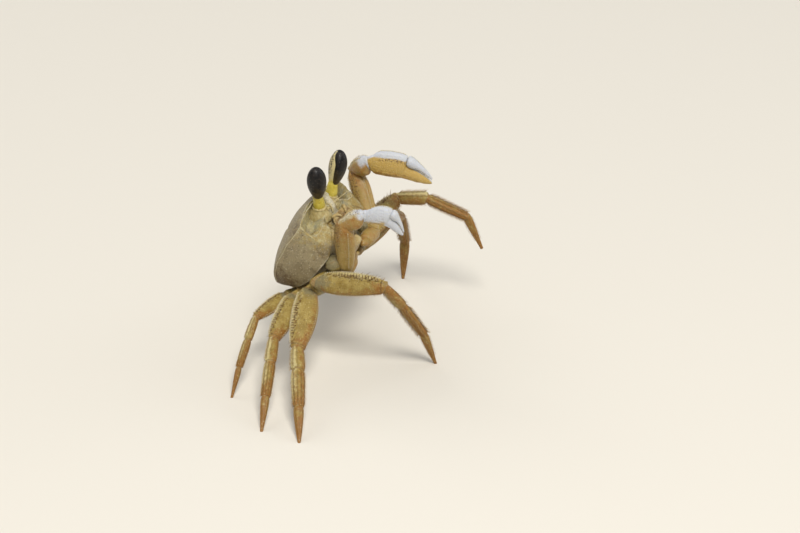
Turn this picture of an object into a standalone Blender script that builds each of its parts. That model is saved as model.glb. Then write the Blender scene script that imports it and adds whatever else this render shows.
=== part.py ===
"""Ghost crab standing reared up on its eight walking legs, both claws held out in front.

A still, life-size model in separate closed solids: shell, underside, mouth plates, eyes, two
claws and eight legs.  The crab faces -Y, its left side is +X and the floor is z = 0.
Body places are written as shares of the shell width: forward, sideways, toward the back.
"""
import math

import bmesh
import bpy
from mathutils import Vector

# ---------------------------------------------------------------- driving dimensions
MM = 0.001
WIDTH = 32 * MM                # shell width between its side edges
BODY_HEIGHT = 32 * MM          # body centre above the floor
BODY_PITCH = 66                # nose-up tilt of the body, degrees
GAP = 0.3 * MM                 # air between neighbouring solids
JOINT_GAP = 0.165 * MM         # each limb segment stops this far short of its joint's plane
SEAM = 0.010                   # air under the shell, as a share of the width
SHARP_FOLD = math.radians(50)  # folds sharper than this stay crisp in the shading

EYE_LENGTH = 13.6 * MM         # from socket to the top of the eye
EYE_SPLAY = {"left": 12, "right": 11}          # outward lean of each eye, degrees
EYE_NOD = {"left": 0.14, "right": -0.02}       # forward lean of each eye
CORNEA_ACROSS = 5.3 * MM
CORNEA_LENGTH = 10.4 * MM
CORNEA_SKEW = 1.32             # above 1 puts the widest part of the eye in its upper half
CORNEA_ROUND = 0.66            # below 1 makes the ends of the egg blunter
CORNEA_CUT = 0.42              # how far from its middle the cornea is cut for the stalk
STALK_RADIUS = CORNEA_ACROSS * 0.235
STRIP_THICK = 0.55 * MM        # least thickness of the stalk's strip up the cornea

TOE_FLAT = 0.42 * MM           # half length of the flat under each toe

# leg segment lengths: upper leg, knee piece, shin, toe; then the upper leg's depth
LEG_SIZES = {
    "leg2": (18.4, 8.1, 12.2, 10.3, 6.5),
    "leg3": (19.6, 8.7, 12.2, 10.8, 6.8),
    "leg4": (17.2, 8.1, 11.4, 10.3, 5.6),
    "leg5": (13.3, 6.8, 8.1, 8.4, 3.9),
}
# where each leg leaves the underside and where its upper leg starts, shares of the width
LEG_ROOTS = {
    "leg2": ((-0.035, 0.235, -0.425), (-0.070, 0.432, -0.352)),
    "leg3": ((-0.170, 0.240, -0.395), (-0.225, 0.405, -0.310)),
    "leg4": ((-0.285, 0.230, -0.325), (-0.355, 0.400, -0.215)),
    "leg5": ((-0.365, 0.190, -0.235), (-0.440, 0.325, -0.125)),
}
# pose: heading and fall of the upper leg, then heading of the rest and the three falls
# heading 0 points straight out sideways, minus is forward; falls are degrees under level
LEG_POSE = {
    ("right", "leg2"): (-94, -3, -137, 54, 59, 71),
    ("right", "leg3"): (-11, 25, -23, 16, 27, 36),
    ("right", "leg4"): (-2, 16, -15, 26, 31, 40),
    ("right", "leg5"): (15, 6, 1, 45, 50, 62),
    ("left", "leg2"): (-16, -17, -76, -4, 24, 66),
    ("left", "leg3"): (-20, -12, 7, 46, 78, 118),
    ("left", "leg4"): (14, -12, 24, 42, 64, 80),
    ("left", "leg5"): (24, -14, 30, 50, 68, 82),
}
RAISED = {("left", "leg2")}     # held clear of the floor, its toe was on the ball of sand
HIP_RADIUS = {"leg2": 2.0, "leg3": 2.0, "leg4": 1.75, "leg5": 1.3}

HAND_ARCH = {"right": 2.6 * MM, "left": 1.8 * MM}     # rise of each hand's middle over its line
ARM_FLAT = 0.64                # thickness of the arm as a share of its depth
CLAW_HIP = (4.4 * MM, 4.0 * MM)      # depth and thickness of the claw's first piece

# claws: arm, wrist and hand lengths, then depths of arm, wrist and palm, in millimetres
CLAW_SIZES = {"right": (15.8, 6.3, 11.8, 6.2, 5.2, 5.8), "left": (17.2, 6.6, 18.4, 5.5, 5.8, 7.5)}
CLAW_ROOT = {
    "right": ((0.120, 0.165, -0.470), (0.094, 0.310, -0.484)),
    "left": ((0.120, 0.165, -0.455), (0.100, 0.385, -0.445)),
}
CLAW_POSE = {
    "right": ((-0.258, -0.074, 0.963), (0.24, -0.82, 0.52), (0.16, -0.905, -0.39)),
    "left": ((0.372, 0.435, 0.82), (-0.312, -0.668, 0.672), (0.229, -0.937, -0.262)),
}

# shell outline against the forward share: half width, crown, side edge, lower edge and floor
HALF_WIDTH = ((-0.43, 0.20), (-0.40, 0.285), (-0.36, 0.345), (-0.25, 0.43), (-0.10, 0.485),
              (0.08, 0.50), (0.20, 0.49), (0.31, 0.46), (0.43, 0.46))
CROWN = ((-0.43, 0.01), (-0.40, 0.05), (-0.33, 0.10), (-0.20, 0.14), (0.0, 0.155), (0.18, 0.148),
         (0.30, 0.115), (0.36, 0.075), (0.40, 0.035), (0.44, -0.03))
SIDE_EDGE = ((-0.43, -0.02), (-0.36, 0.0), (-0.22, 0.035), (-0.05, 0.047), (0.12, 0.035),
             (0.31, 0.0), (0.44, -0.01))
LOWER_WIDTH = ((-0.43, 0.17), (-0.38, 0.265), (-0.30, 0.35), (-0.16, 0.395), (0.04, 0.40),
               (0.18, 0.375), (0.31, 0.40))
LOWER_EDGE = ((-0.43, -0.05), (-0.38, -0.10), (-0.30, -0.185), (-0.16, -0.262), (0.03, -0.305),
              (0.18, -0.330), (0.26, -0.305), (0.31, -0.255))
FLOOR_LINE = ((-0.43, -0.07), (-0.38, -0.155), (-0.30, -0.24), (-0.16, -0.310), (0.0, -0.345),
              (0.18, -0.355), (0.30, -0.33))
FRONT_EDGE = ((0.0, 0.430), (0.05, 0.420), (0.08, 0.372), (0.14, 0.352), (0.28, 0.348),
              (0.40, 0.332), (0.46, 0.31))
BACK_STATIONS = (0, 0.10, 0.17, 0.30, 0.48, 0.68, 0.86, 1.0)
BACK_END = -0.43
MOUTH = (0.335, -0.24)         # centre of the mouth field, forward and toward the back
FRONT_RUN = (0.46, 0.31)       # sideways share at the outer eye corner and forward share below it
FRONT_FALL = (0.06, 0.02)      # how far the front rim falls back down the wall and underneath
WALL_SWELL = 0.018             # how far the side wall bulges
FOLD = (0.045, 0.028)          # inward and upward turn under the wall's lower edge
ORBIT_DEPTH = 0.10             # hollow for each eye
MOUTH_DEPTH = 0.055            # recess behind the mouth plates
SHELL_RUN = (0, 0.03, 0.08, 0.15, 0.24, 0.34, 0.45, 0.56, 0.67, 0.78, 0.87, 0.94, 0.98)
FACE_RUN = (1.0, 0.955, 0.88, 0.78, 0.67, 0.575, 0.50, 0.38, 0.20)

# breast plate: forward stations, half width against them, thickness
BREAST_RUN = (0.185, 0.165, 0.09, 0.0, -0.09, -0.18, -0.26, -0.325, -0.345)
BREAST_WIDTH = ((-0.35, 0.12), (-0.26, 0.18), (-0.05, 0.205), (0.09, 0.16), (0.19, 0.09))
BREAST_THICK = 0.075
BREAST_END_THICK = 0.05
# tail flap: forward and back shares down its middle, and its half width there
FLAP = ((-0.462, -0.085, 0.115), (-0.462, -0.150, 0.13), (-0.435, -0.235, 0.13),
        (-0.375, -0.315, 0.12), (-0.290, -0.362, 0.105), (-0.180, -0.410, 0.085),
        (-0.060, -0.440, 0.062), (0.040, -0.458, 0.042), (0.090, -0.466, 0.022))
FLAP_THICK = 0.026
# mouth plate: back share, width and thickness there
JAW = ((-0.350, 0.085, 0.014), (-0.336, 0.125, 0.026), (-0.285, 0.145, 0.032),
       (-0.225, 0.148, 0.032), (-0.195, 0.142, 0.030), (-0.170, 0.115, 0.024),
       (-0.158, 0.06, 0.014))
JAW_LEAN = 0.30                # forward share gained for each back share

# eye: stations up the cornea's own length, and up the eye for the stalk
CORNEA_RUN = (0.012, 0.05, 0.13, 0.26, 0.42, 0.58, 0.74, 0.87, 0.95, 0.99)
STALK_FOOT = ((0.0, 0.80, 0.0), (0.10, 1.05, 0.0), (0.19, 1.0, 0.1))
STRIP_RUN = ((0.262, 0.60), (0.36, 0.62), (0.50, 0.62), (0.66, 0.62), (0.80, 0.62), (0.90, 0.45))
EYE_FOOT = (0.352, 0.115, -0.022)

# limb stations: share along, share of the depth, share of the thickness
ARM = ((0, 0.64, 0.80), (0.12, 0.73, 0.92), (0.40, 0.90, 0.97), (0.78, 1.0, 1.0), (1, 0.64, 0.80))
KNOB = ((0, 0.80, 0.80), (0.20, 0.92, 0.92), (0.50, 1.0, 1.0), (0.80, 0.94, 0.94), (1, 0.62, 0.62))
HIP = ((0, 0.74, 0.74), (0.28, 0.95, 0.95), (0.68, 1.0, 1.0), (1, 0.84, 0.84))
UPPER = ((0, 0.60, 0.80), (0.10, 0.84, 0.92), (0.28, 0.99, 1.0), (0.50, 1.0, 1.0),
         (0.74, 0.86, 0.92), (0.90, 0.67, 0.84), (1, 0.56, 0.76))
KNEE = ((0, 0.84, 0.84), (0.25, 0.92, 0.92), (0.70, 1.0, 1.0), (1, 0.90, 0.90))
SHIN = ((0, 0.90, 0.90), (0.20, 1.0, 1.0), (0.45, 1.0, 1.0), (0.78, 0.92, 0.92), (1, 0.82, 0.82))
TOE = ((0, 0.96, 0.96), (0.14, 1.0, 1.0), (0.34, 0.90, 0.90), (0.60, 0.68, 0.70), (0.84, 0.44, 0.48))
# hand and finger add a fourth share: shift toward the upper edge, of the palm's depth
HAND = ((0, 0.42, 0.50, -0.02), (0.05, 0.66, 0.74, -0.02), (0.16, 0.92, 0.95, 0.0),
        (0.32, 1.0, 1.0, 0.0), (0.47, 0.96, 0.94, 0.0), (0.535, 0.88, 0.84, 0.0),
        (0.555, 0.58, 0.72, -0.145), (0.66, 0.50, 0.60, -0.150), (0.78, 0.41, 0.48, -0.140),
        (0.90, 0.26, 0.32, -0.105), (0.985, 0.09, 0.13, -0.060))
FINGER = ((0.580, 0.22, 0.50, 0.285), (0.62, 0.27, 0.56, 0.275), (0.72, 0.27, 0.48, 0.252),
          (0.83, 0.22, 0.36, 0.200), (0.93, 0.14, 0.24, 0.125), (0.975, 0.07, 0.12, 0.085))
PALM_FLAT = 0.60               # thickness of the palm as a share of its depth
# leg segments: name, stations, share of the upper leg's depth, thickness share, sides, keel
LEG_FORMS = (("merus", UPPER, 1.0, 0.48, 10, 0.5), ("carpus", KNEE, 0.58, 0.76, 8, 0.3),
             ("propodus", SHIN, 0.52, 0.72, 8, 0.3))
TOE_DEPTH = 0.40               # shares of the upper leg's depth
TOE_THICK = 0.30
TOE_KEEL = 0.2


# ---------------------------------------------------------------- small helpers
def start_empty():
    for old in list(bpy.data.objects):
        bpy.data.objects.remove(old, do_unlink=True)


def line_value(table, x):
    """Value of a smooth run through a short table of named stations."""
    if x <= table[0][0]:
        return table[0][1]
    for (x0, y0), (x1, y1) in zip(table, table[1:]):
        if x <= x1:
            return y0 + (y1 - y0) * (x - x0) / (x1 - x0)
    return table[-1][1]


def ease(a, b, x):
    t = min(1.0, max(0.0, (x - a) / (b - a)))
    return t * t * (3 - 2 * t)


PITCH = math.radians(BODY_PITCH)
FORWARD = Vector((0, -math.cos(PITCH), math.sin(PITCH)))
SIDE = Vector((1, 0, 0))
BACK = FORWARD.cross(SIDE)


def body(forward, side, back):
    """A place on the crab, given in shares of the shell width."""
    centre = Vector((0, 0, BODY_HEIGHT))
    return centre + WIDTH * (forward * FORWARD + side * SIDE + back * BACK)


def side_sign(side):
    return 1 if side == "left" else -1


COLOURS = {
    "shell": (0.52, 0.46, 0.36),
    "underside": (0.70, 0.64, 0.50),
    "mouth": (0.62, 0.52, 0.33),
    "leg": (0.66, 0.55, 0.27),
    "claw": (0.80, 0.76, 0.68),
    "stalk": (0.70, 0.58, 0.20),
    "cornea": (0.05, 0.04, 0.035),
}


def material(slot):
    found = bpy.data.materials.get(slot)
    if found:
        return found
    made = bpy.data.materials.new(slot)
    made.use_nodes = True
    shader = made.node_tree.nodes["Principled BSDF"]
    shader.inputs["Base Color"].default_value = (*COLOURS[slot], 1)
    shader.inputs["Roughness"].default_value = 0.25 if slot == "cornea" else 0.6
    return made


def solid(name, rings, slot):
    """Close a run of equal rings into one body, the two end rings capped flat."""
    bm = bmesh.new()
    rows = [[bm.verts.new(p) for p in ring] for ring in rings]
    count = len(rows[0])
    for low, high in zip(rows, rows[1:]):
        for i in range(count):
            j = (i + 1) % count
            bm.faces.new((low[i], low[j], high[j], high[i]))
    bm.faces.new(list(reversed(rows[0])))
    bm.faces.new(rows[-1])
    bmesh.ops.recalc_face_normals(bm, faces=bm.faces)
    mesh = bpy.data.meshes.new(name)
    bm.to_mesh(mesh)
    bm.free()
    mesh.materials.append(material(slot))
    mesh.shade_smooth()
    mesh.set_sharp_from_angle(angle=SHARP_FOLD)
    made = bpy.data.objects.new(name, mesh)
    bpy.context.scene.collection.objects.link(made)
    return made


def axes(along, toward):
    a = along.normalized()
    up = (toward - a * toward.dot(a)).normalized()
    return a, up, a.cross(up)


def ring(centre, up, across, deep, thick, count, keel=0.0):
    """One cross-section; keel draws the upper edge of it in to a rim."""
    points = []
    for i in range(count):
        turn = 2 * math.pi * (i + 0.5) / count
        y = math.sin(turn)
        x = math.copysign(abs(math.cos(turn)) ** 0.85, math.cos(turn))
        x *= 1 - keel * max(0.0, y) ** 2
        points.append(centre + up * (deep * y) + across * (thick * x))
    return points


def limb(name, start, end, toward, stations, deep, thick, slot, count=8, keel=0.0,
         before=None, after=None):
    """A limb segment between two joints, its ends cut on the mitre of each joint.

    stations: share along, share of the depth, share of the thickness.
    before and after: directions of the neighbouring segments, or nothing for a square end.
    """
    along, up, across = axes(end - start, toward)
    reach = (end - start).length
    first = (along + before.normalized()).normalized() if before else along
    last = (along + after.normalized()).normalized() if after else along
    rings = []
    for share, d, t in stations:
        points = []
        for p in ring(Vector(), up, across, deep / 2 * d, thick / 2 * t, count, keel):
            low = (JOINT_GAP - p.dot(first)) / along.dot(first)
            high = reach - (JOINT_GAP + p.dot(last)) / along.dot(last)
            points.append(start + p + along * (low + (high - low) * share))
        rings.append(points)
    return solid(name, rings, slot)


# ---------------------------------------------------------------- shell
HALF = 18                      # stations down one side of a shell ring
TOP = 7                        # of those, back edge at this station
WALL = 13                      # and lower edge of the side wall at this one


def shell_place(k, forward):
    """Sideways and back shares of ring station k at a forward share."""
    w = line_value(HALF_WIDTH, forward)
    edge = line_value(SIDE_EDGE, forward)
    if k <= TOP:
        t = BACK_STATIONS[k]
        crown = line_value(CROWN, forward)
        return w * t, edge + (crown - edge) * (1 - t ** 2.2)
    low_w = line_value(LOWER_WIDTH, forward)
    low = line_value(LOWER_EDGE, forward)
    if k <= WALL:
        s = (k - TOP) / (WALL - TOP)
        swell = WALL_SWELL * math.sin(math.pi * s)
        return w + (low_w - w) * s + swell, edge + (low - edge) * s
    floor = line_value(FLOOR_LINE, forward)
    if k == WALL + 1:
        return low_w - FOLD[0], low + FOLD[1]
    if k == WALL + 2:
        return low_w * 0.5 + 0.07, min(low + 0.03, (low + 0.03 + floor) / 2)
    return low_w * 0.5 * (HALF - k) / 2, floor


def front_share(k):
    """Forward share of the shell's front rim at station k."""
    if k <= TOP:
        return line_value(FRONT_EDGE, FRONT_RUN[0] * BACK_STATIONS[k])
    if k <= WALL:
        return FRONT_RUN[1] - FRONT_FALL[0] * (k - TOP) / (WALL - TOP)
    return FRONT_RUN[1] - FRONT_FALL[0] - FRONT_FALL[1] * (k - WALL) / (HALF - WALL)


def face_place(k, q):
    """Place on the front face, q = 1 at the rim and 0 at the mouth centre."""
    rim_f = front_share(k)
    rim_side, rim_back = shell_place(k, rim_f)
    side = rim_side * q
    back = MOUTH[1] + (rim_back - MOUTH[1]) * q
    f = MOUTH[0] + (rim_f - MOUTH[0]) * q ** 1.4
    # the eye's hollow lies between the rim and the mouth field, and fades at both its ends
    orbit = math.sin(math.pi * min(1, max(0, (q - 0.52) / 0.46))) ** 1.2
    orbit *= ease(0.045, 0.085, side) * (1 - ease(0.38, 0.455, side)) * ease(-0.135, -0.085, back)
    mouth = (1 - ease(0.17, 0.21, side)) * (1 - ease(-0.150, -0.105, back))
    mouth *= 1 - ease(0.72, 0.95, q)
    return f - ORBIT_DEPTH * orbit - MOUTH_DEPTH * mouth, side, back


def mirror_ring(half_points):
    """Join one side's stations with their mirror images to a closed ring of places."""
    left = [body(f, s, b) for f, s, b in half_points]
    right = [body(f, -s, b) for f, s, b in half_points[1:-1]]
    return left + list(reversed(right))


def build_shell():
    rings = []
    for v in SHELL_RUN:
        half = []
        for k in range(HALF + 1):
            f = BACK_END + (front_share(k) - BACK_END) * v
            half.append((f, *shell_place(k, f)))
        rings.append(mirror_ring(half))
    for q in FACE_RUN:
        rings.append(mirror_ring([face_place(k, q) for k in range(HALF + 1)]))
    return solid("carapace", rings, "shell")


# ---------------------------------------------------------------- underside
def build_breast():
    count = 12
    rings = []
    for f in BREAST_RUN:
        wide = line_value(BREAST_WIDTH, f)
        top = line_value(FLOOR_LINE, f) - SEAM
        thick = BREAST_THICK if BREAST_RUN[-1] < f < BREAST_RUN[0] else BREAST_END_THICK
        places = []
        for i in range(count):
            turn = 2 * math.pi * (i + 0.5) / count
            side = wide * math.copysign(abs(math.cos(turn)) ** 0.7, math.cos(turn))
            up = math.copysign(abs(math.sin(turn)) ** 0.45, math.sin(turn))
            places.append(body(f, side, top - thick / 2 * (1 - up)))
        rings.append(places)
    solid("sternum", rings, "underside")


def build_flap():
    count = 8
    rings = []
    for i, (f, b, wide) in enumerate(FLAP):
        before = FLAP[max(0, i - 1)]
        after = FLAP[min(len(FLAP) - 1, i + 1)]
        run = Vector((after[0] - before[0], after[1] - before[1], 0)).normalized()
        out = Vector((run.y, -run.x, 0))
        places = []
        for j in range(count):
            turn = 2 * math.pi * (j + 0.5) / count
            side = wide * math.cos(turn) / math.cos(math.pi / count)
            thin = 1 if abs(math.cos(turn)) < 0.7 else 0.5
            off = FLAP_THICK / 2 * math.copysign(1, math.sin(turn)) * thin
            places.append(body(f + out.x * off, side, b + out.y * off))
        rings.append(places)
    solid("abdomen", rings, "underside")


def build_jaw(side):
    count = 8
    s = side_sign(side)
    rings = []
    for b, wide, thick in JAW:
        f = MOUTH[0] - 0.031 + JAW_LEAN * (b - MOUTH[1])
        places = []
        for j in range(count):
            turn = 2 * math.pi * (j + 0.5) / count
            across = 0.008 + wide / 2 * (1 + math.cos(turn) / math.cos(math.pi / count))
            out = 0.016 + thick / 2 * math.sin(turn) / math.sin(3 * math.pi / count)
            places.append(body(f + out, s * across, b))
        rings.append(places)
    solid("maxilliped_" + side, rings, "mouth")


# ---------------------------------------------------------------- eyes
def egg(height):
    """Half width of the cornea at a height above the eye's foot."""
    t = (height - (EYE_LENGTH - CORNEA_LENGTH)) / CORNEA_LENGTH
    swell = max(0.0, math.sin(math.pi * min(1, max(0, t)) ** CORNEA_SKEW))
    return CORNEA_ACROSS / 2 * swell ** CORNEA_ROUND


def build_eye(side):
    s = side_sign(side)
    foot = body(EYE_FOOT[0], s * EYE_FOOT[1], EYE_FOOT[2])
    lean = math.radians(EYE_SPLAY[side])
    along = Vector((s * math.sin(lean), -EYE_NOD[side], math.cos(lean)))
    along, inner, across = axes(along, BACK * 0.8 - SIDE * s * 0.6)

    count = 14
    rings = []
    for t in CORNEA_RUN:
        height = EYE_LENGTH - CORNEA_LENGTH * (1 - t)
        r = max(egg(height), 0.3 * MM)
        points = []
        for i in range(count):
            turn = 2 * math.pi * (i + 0.5) / count
            x = max(-CORNEA_CUT * r, -r * math.cos(turn))
            points.append(foot + along * height - inner * x + across * (r * math.sin(turn)))
        rings.append(points)
    solid("cornea_" + side, rings, "cornea")

    count = 10
    rings = []
    for height, size, shift in STALK_FOOT:
        centre = foot + along * (EYE_LENGTH * height) + inner * (STALK_RADIUS * shift)
        rings.append(ring(centre, inner, across, STALK_RADIUS * size, STALK_RADIUS * size, count))
    for height, wide in STRIP_RUN:
        h = EYE_LENGTH * height
        r = max(egg(h), 1.0 * MM)
        near = CORNEA_CUT * r + GAP
        far = max(r * 1.04, near + STRIP_THICK)
        centre = foot + along * h + inner * ((near + far) / 2)
        rings.append(ring(centre, inner, across, (far - near) / 2, wide * r, count))
    solid("eyestalk_" + side, rings, "stalk")


# ---------------------------------------------------------------- claws
def arch(side, share):
    """Rise of the hand above its own straight line, from wrist to tip."""
    return HAND_ARCH[side] * math.sin(math.pi * share)


def hand_rings(side, start, end, up_hint, deep, thick, before):
    """Palm and its fixed finger; the palm ends in a step where the free finger sits."""
    along, up, across = axes(end - start, up_hint)
    reach = (end - start).length
    first = (along + before).normalized()
    rings = []
    for share, d, t, shift in HAND:
        points = []
        for p in ring(up * (shift * deep), up, across, deep / 2 * d, thick / 2 * t, 10, 0.12):
            low = (JOINT_GAP - p.dot(first)) / along.dot(first) * max(0, 1 - share / 0.2)
            points.append(start + p + along * (low + reach * share) + up * arch(side, share))
        rings.append(points)
    return rings


def finger_rings(side, start, end, up_hint, deep, thick):
    """The free upper finger, arched and curving down to meet the fixed one."""
    along, up, across = axes(end - start, up_hint)
    rings = []
    for share, d, t, shift in FINGER:
        centre = start.lerp(end, share) + up * (shift * deep + arch(side, share))
        rings.append(ring(centre, up, across, deep / 2 * d, thick / 2 * t, 8, 0.1))
    return rings


def build_claw(side):
    s = side_sign(side)
    arm_l, wrist_l, hand_l, arm_d, wrist_d, palm_d = (v * MM for v in CLAW_SIZES[side])
    inner, outer = CLAW_ROOT[side]
    root = body(inner[0], s * inner[1], inner[2])
    shoulder = body(outer[0], s * outer[1], outer[2])
    ways = [Vector(v).normalized() for v in CLAW_POSE[side]]
    elbow = shoulder + ways[0] * arm_l
    wrist = elbow + ways[1] * wrist_l
    tip = wrist + ways[2] * hand_l
    up = Vector((0, 0, 1))
    limb("claw_hip_" + side, root, shoulder, BACK, HIP, *CLAW_HIP, "leg", after=ways[0])
    limb("claw_arm_" + side, shoulder, elbow, BACK, ARM, arm_d, arm_d * ARM_FLAT, "claw", 10, 0.25,
         shoulder - root, ways[1])
    limb("claw_wrist_" + side, elbow, wrist, up, KNOB, wrist_d, wrist_d * 0.84, "claw", 10, 0.0,
         ways[0], ways[2])
    thick = palm_d * PALM_FLAT
    solid("claw_hand_" + side, hand_rings(side, wrist, tip, up, palm_d, thick, ways[1]), "claw")
    solid("claw_finger_" + side, finger_rings(side, wrist, tip, up, palm_d, thick), "claw")


# ---------------------------------------------------------------- walking legs
def heading(side, turn, fall):
    turn = math.radians(turn)
    fall = math.radians(fall)
    return Vector((side_sign(side) * math.cos(fall) * math.cos(turn),
                   math.cos(fall) * math.sin(turn), -math.sin(fall)))


def leg_points(side, leg):
    """Joint places of a leg, the lower part swung as one until the toe is on the floor."""
    upper, knee, shin, toe, _ = (v * MM for v in LEG_SIZES[leg])
    h1, f1, h2, f2, f3, f4 = LEG_POSE[side, leg]
    place = LEG_ROOTS[leg][1]
    start = body(place[0], side_sign(side) * place[1], place[2])
    bend = start + heading(side, h1, f1) * upper

    def lower_part(swing):
        run = [bend]
        for length, fall in ((knee, f2), (shin, f3), (toe, f4)):
            run.append(run[-1] + heading(side, h2, fall + swing) * length)
        return run

    if (side, leg) in RAISED:
        return [start] + lower_part(0)
    low = -40.0
    high = 40.0
    for _ in range(50):
        middle = (low + high) / 2
        if lower_part(middle)[-1].z > 0:
            low = middle
        else:
            high = middle
    run = lower_part(middle)
    run[-1].z = 0.0
    return [start] + run


def toe_solid(name, start, tip, before, deep, thick, on_floor):
    """The last segment, tapering to a small level flat on the floor or to a blunt point."""
    along, up, across = axes(tip - start, BACK)
    reach = (tip - start).length
    first = (along + before).normalized()
    rings = []
    for share, d, t in TOE:
        points = []
        for p in ring(Vector(), up, across, deep / 2 * d, thick / 2 * t, 8, TOE_KEEL):
            low = (JOINT_GAP - p.dot(first)) / along.dot(first)
            points.append(start + p + along * (low + (reach - low) * share))
        rings.append(points)
    level = Vector((along.x, along.y, 0)).normalized()
    beside = Vector((-level.y, level.x, 0))
    if not on_floor:
        level, beside = up, across
    flat = []
    for p in ring(Vector(), up, across, 1, 1, 8):
        off = level * (p.dot(level) if not on_floor else p.dot(level) + 0.4 * p.z) + beside * p.dot(beside)
        flat.append(tip + off.normalized() * TOE_FLAT)
    rings.append(flat)
    return solid(name, rings, "leg")


def build_leg(side, leg):
    s = side_sign(side)
    points = leg_points(side, leg)
    place = LEG_ROOTS[leg][0]
    root = body(place[0], s * place[1], place[2])
    deep = LEG_SIZES[leg][4] * MM
    tail = "_%s_%s" % (leg, side)
    ways = [(b - a).normalized() for a, b in zip([root] + points, points)]
    radius = HIP_RADIUS[leg] * MM
    limb("hip" + tail, root, points[0], BACK, HIP, radius * 2, radius * 1.8, "leg", after=ways[1])
    for i, (word, form, share, flat, count, keel) in enumerate(LEG_FORMS):
        limb(word + tail, points[i], points[i + 1], BACK, form, deep * share, deep * share * flat,
             "leg", count, keel, ways[i], ways[i + 2])
    toe_solid("dactylus" + tail, points[3], points[4], ways[3], deep * TOE_DEPTH, deep * TOE_THICK,
              (side, leg) not in RAISED)


def centre_on_floor():
    """Put the middle of the footprint box on the origin, toes on z = 0."""
    low = Vector((1, 1, 1))
    high = Vector((-1, -1, -1))
    for item in bpy.data.objects:
        for v in item.data.vertices:
            low = Vector(map(min, low, v.co))
            high = Vector(map(max, high, v.co))
    move = Vector((-(low.x + high.x) / 2, -(low.y + high.y) / 2, 0))
    for item in bpy.data.objects:
        for v in item.data.vertices:
            v.co += move


start_empty()
build_shell()
build_breast()
build_flap()
for which in ("left", "right"):
    build_jaw(which)
    build_eye(which)
    build_claw(which)
    for leg_name in LEG_SIZES:
        build_leg(which, leg_name)
centre_on_floor()
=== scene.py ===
import math
import random

import bmesh
import bpy
import numpy as np
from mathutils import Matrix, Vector, noise
from mathutils.bvhtree import BVHTree


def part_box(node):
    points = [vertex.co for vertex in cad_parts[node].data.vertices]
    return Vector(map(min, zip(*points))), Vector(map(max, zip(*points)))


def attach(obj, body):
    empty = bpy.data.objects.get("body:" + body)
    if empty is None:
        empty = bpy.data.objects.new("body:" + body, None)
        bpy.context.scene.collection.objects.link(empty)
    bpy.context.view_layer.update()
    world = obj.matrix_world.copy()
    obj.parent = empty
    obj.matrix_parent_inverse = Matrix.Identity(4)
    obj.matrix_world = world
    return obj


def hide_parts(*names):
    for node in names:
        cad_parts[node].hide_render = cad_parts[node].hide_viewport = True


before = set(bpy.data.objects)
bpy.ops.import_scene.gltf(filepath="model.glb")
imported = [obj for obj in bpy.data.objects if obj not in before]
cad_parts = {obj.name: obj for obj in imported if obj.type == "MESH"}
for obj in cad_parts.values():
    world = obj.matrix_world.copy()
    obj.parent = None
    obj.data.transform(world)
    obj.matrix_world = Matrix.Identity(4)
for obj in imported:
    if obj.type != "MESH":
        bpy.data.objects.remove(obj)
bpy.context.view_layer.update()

# ---------------------------------------------------------------- the shell
# The carapace is one thin case of chalky chitin, domed behind the eyes, with upright side
# walls and a hollow for each eye.  It grows in one piece, so its cage is rounded off whole,
# and grooves, rims and grains are raised on it afterwards.
MM = 0.001
SHELL_WIDTH = 32 * MM
NOSE_UP = math.radians(66)
FORWARD = np.array((0.0, -math.cos(NOSE_UP), math.sin(NOSE_UP)))
SIDE = np.array((1.0, 0.0, 0.0))
BACK = np.cross(FORWARD, SIDE)
CENTRE_INSET = 13.12 * MM
CENTRE_RISE = 13.48 * MM
shell_low, shell_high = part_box("carapace")
CENTRE = np.array(((shell_low.x + shell_high.x) / 2, shell_low.y + CENTRE_INSET,
                   shell_low.z + CENTRE_RISE))
WELD = 0.002 * MM
FLAT_TURN = math.radians(35)
SQUARE_TURN = math.radians(100)
HARD_FOLD = math.radians(58)
EDGE_HOLD = 0.35
CAGE_PULL = 0.8
GRAIN_HALF = 0.62


def read_rows(items, key):
    flat = np.empty(len(items) * 3)
    items.foreach_get(key, flat)
    return flat.reshape(-1, 3)


def places(mesh):
    return read_rows(mesh.vertices, "co")


def outward(mesh):
    return read_rows(mesh.vertex_normals, "vector")


def reshape(mesh, points):
    mesh.vertices.foreach_set("co", points.ravel())
    mesh.update()


def raise_skin(mesh, lift):
    """Push each point of a mesh outward by its own height."""
    reshape(mesh, places(mesh) + outward(mesh) * lift[:, None])


def mark(mesh, **marks):
    """Keep named numbers for each point of a mesh, for its finish to read."""
    for name, values in marks.items():
        layer = mesh.attributes.new(name, "FLOAT", "POINT")
        layer.data.foreach_set("value", np.clip(np.zeros(len(mesh.vertices)) + values, 0, 1))


def new_mesh(name, points, faces):
    mesh = bpy.data.meshes.new(name)
    mesh.from_pydata(points, [], faces)
    return mesh


def add(name, data):
    made = bpy.data.objects.new(name, data)
    bpy.context.scene.collection.objects.link(made)
    return made


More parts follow.
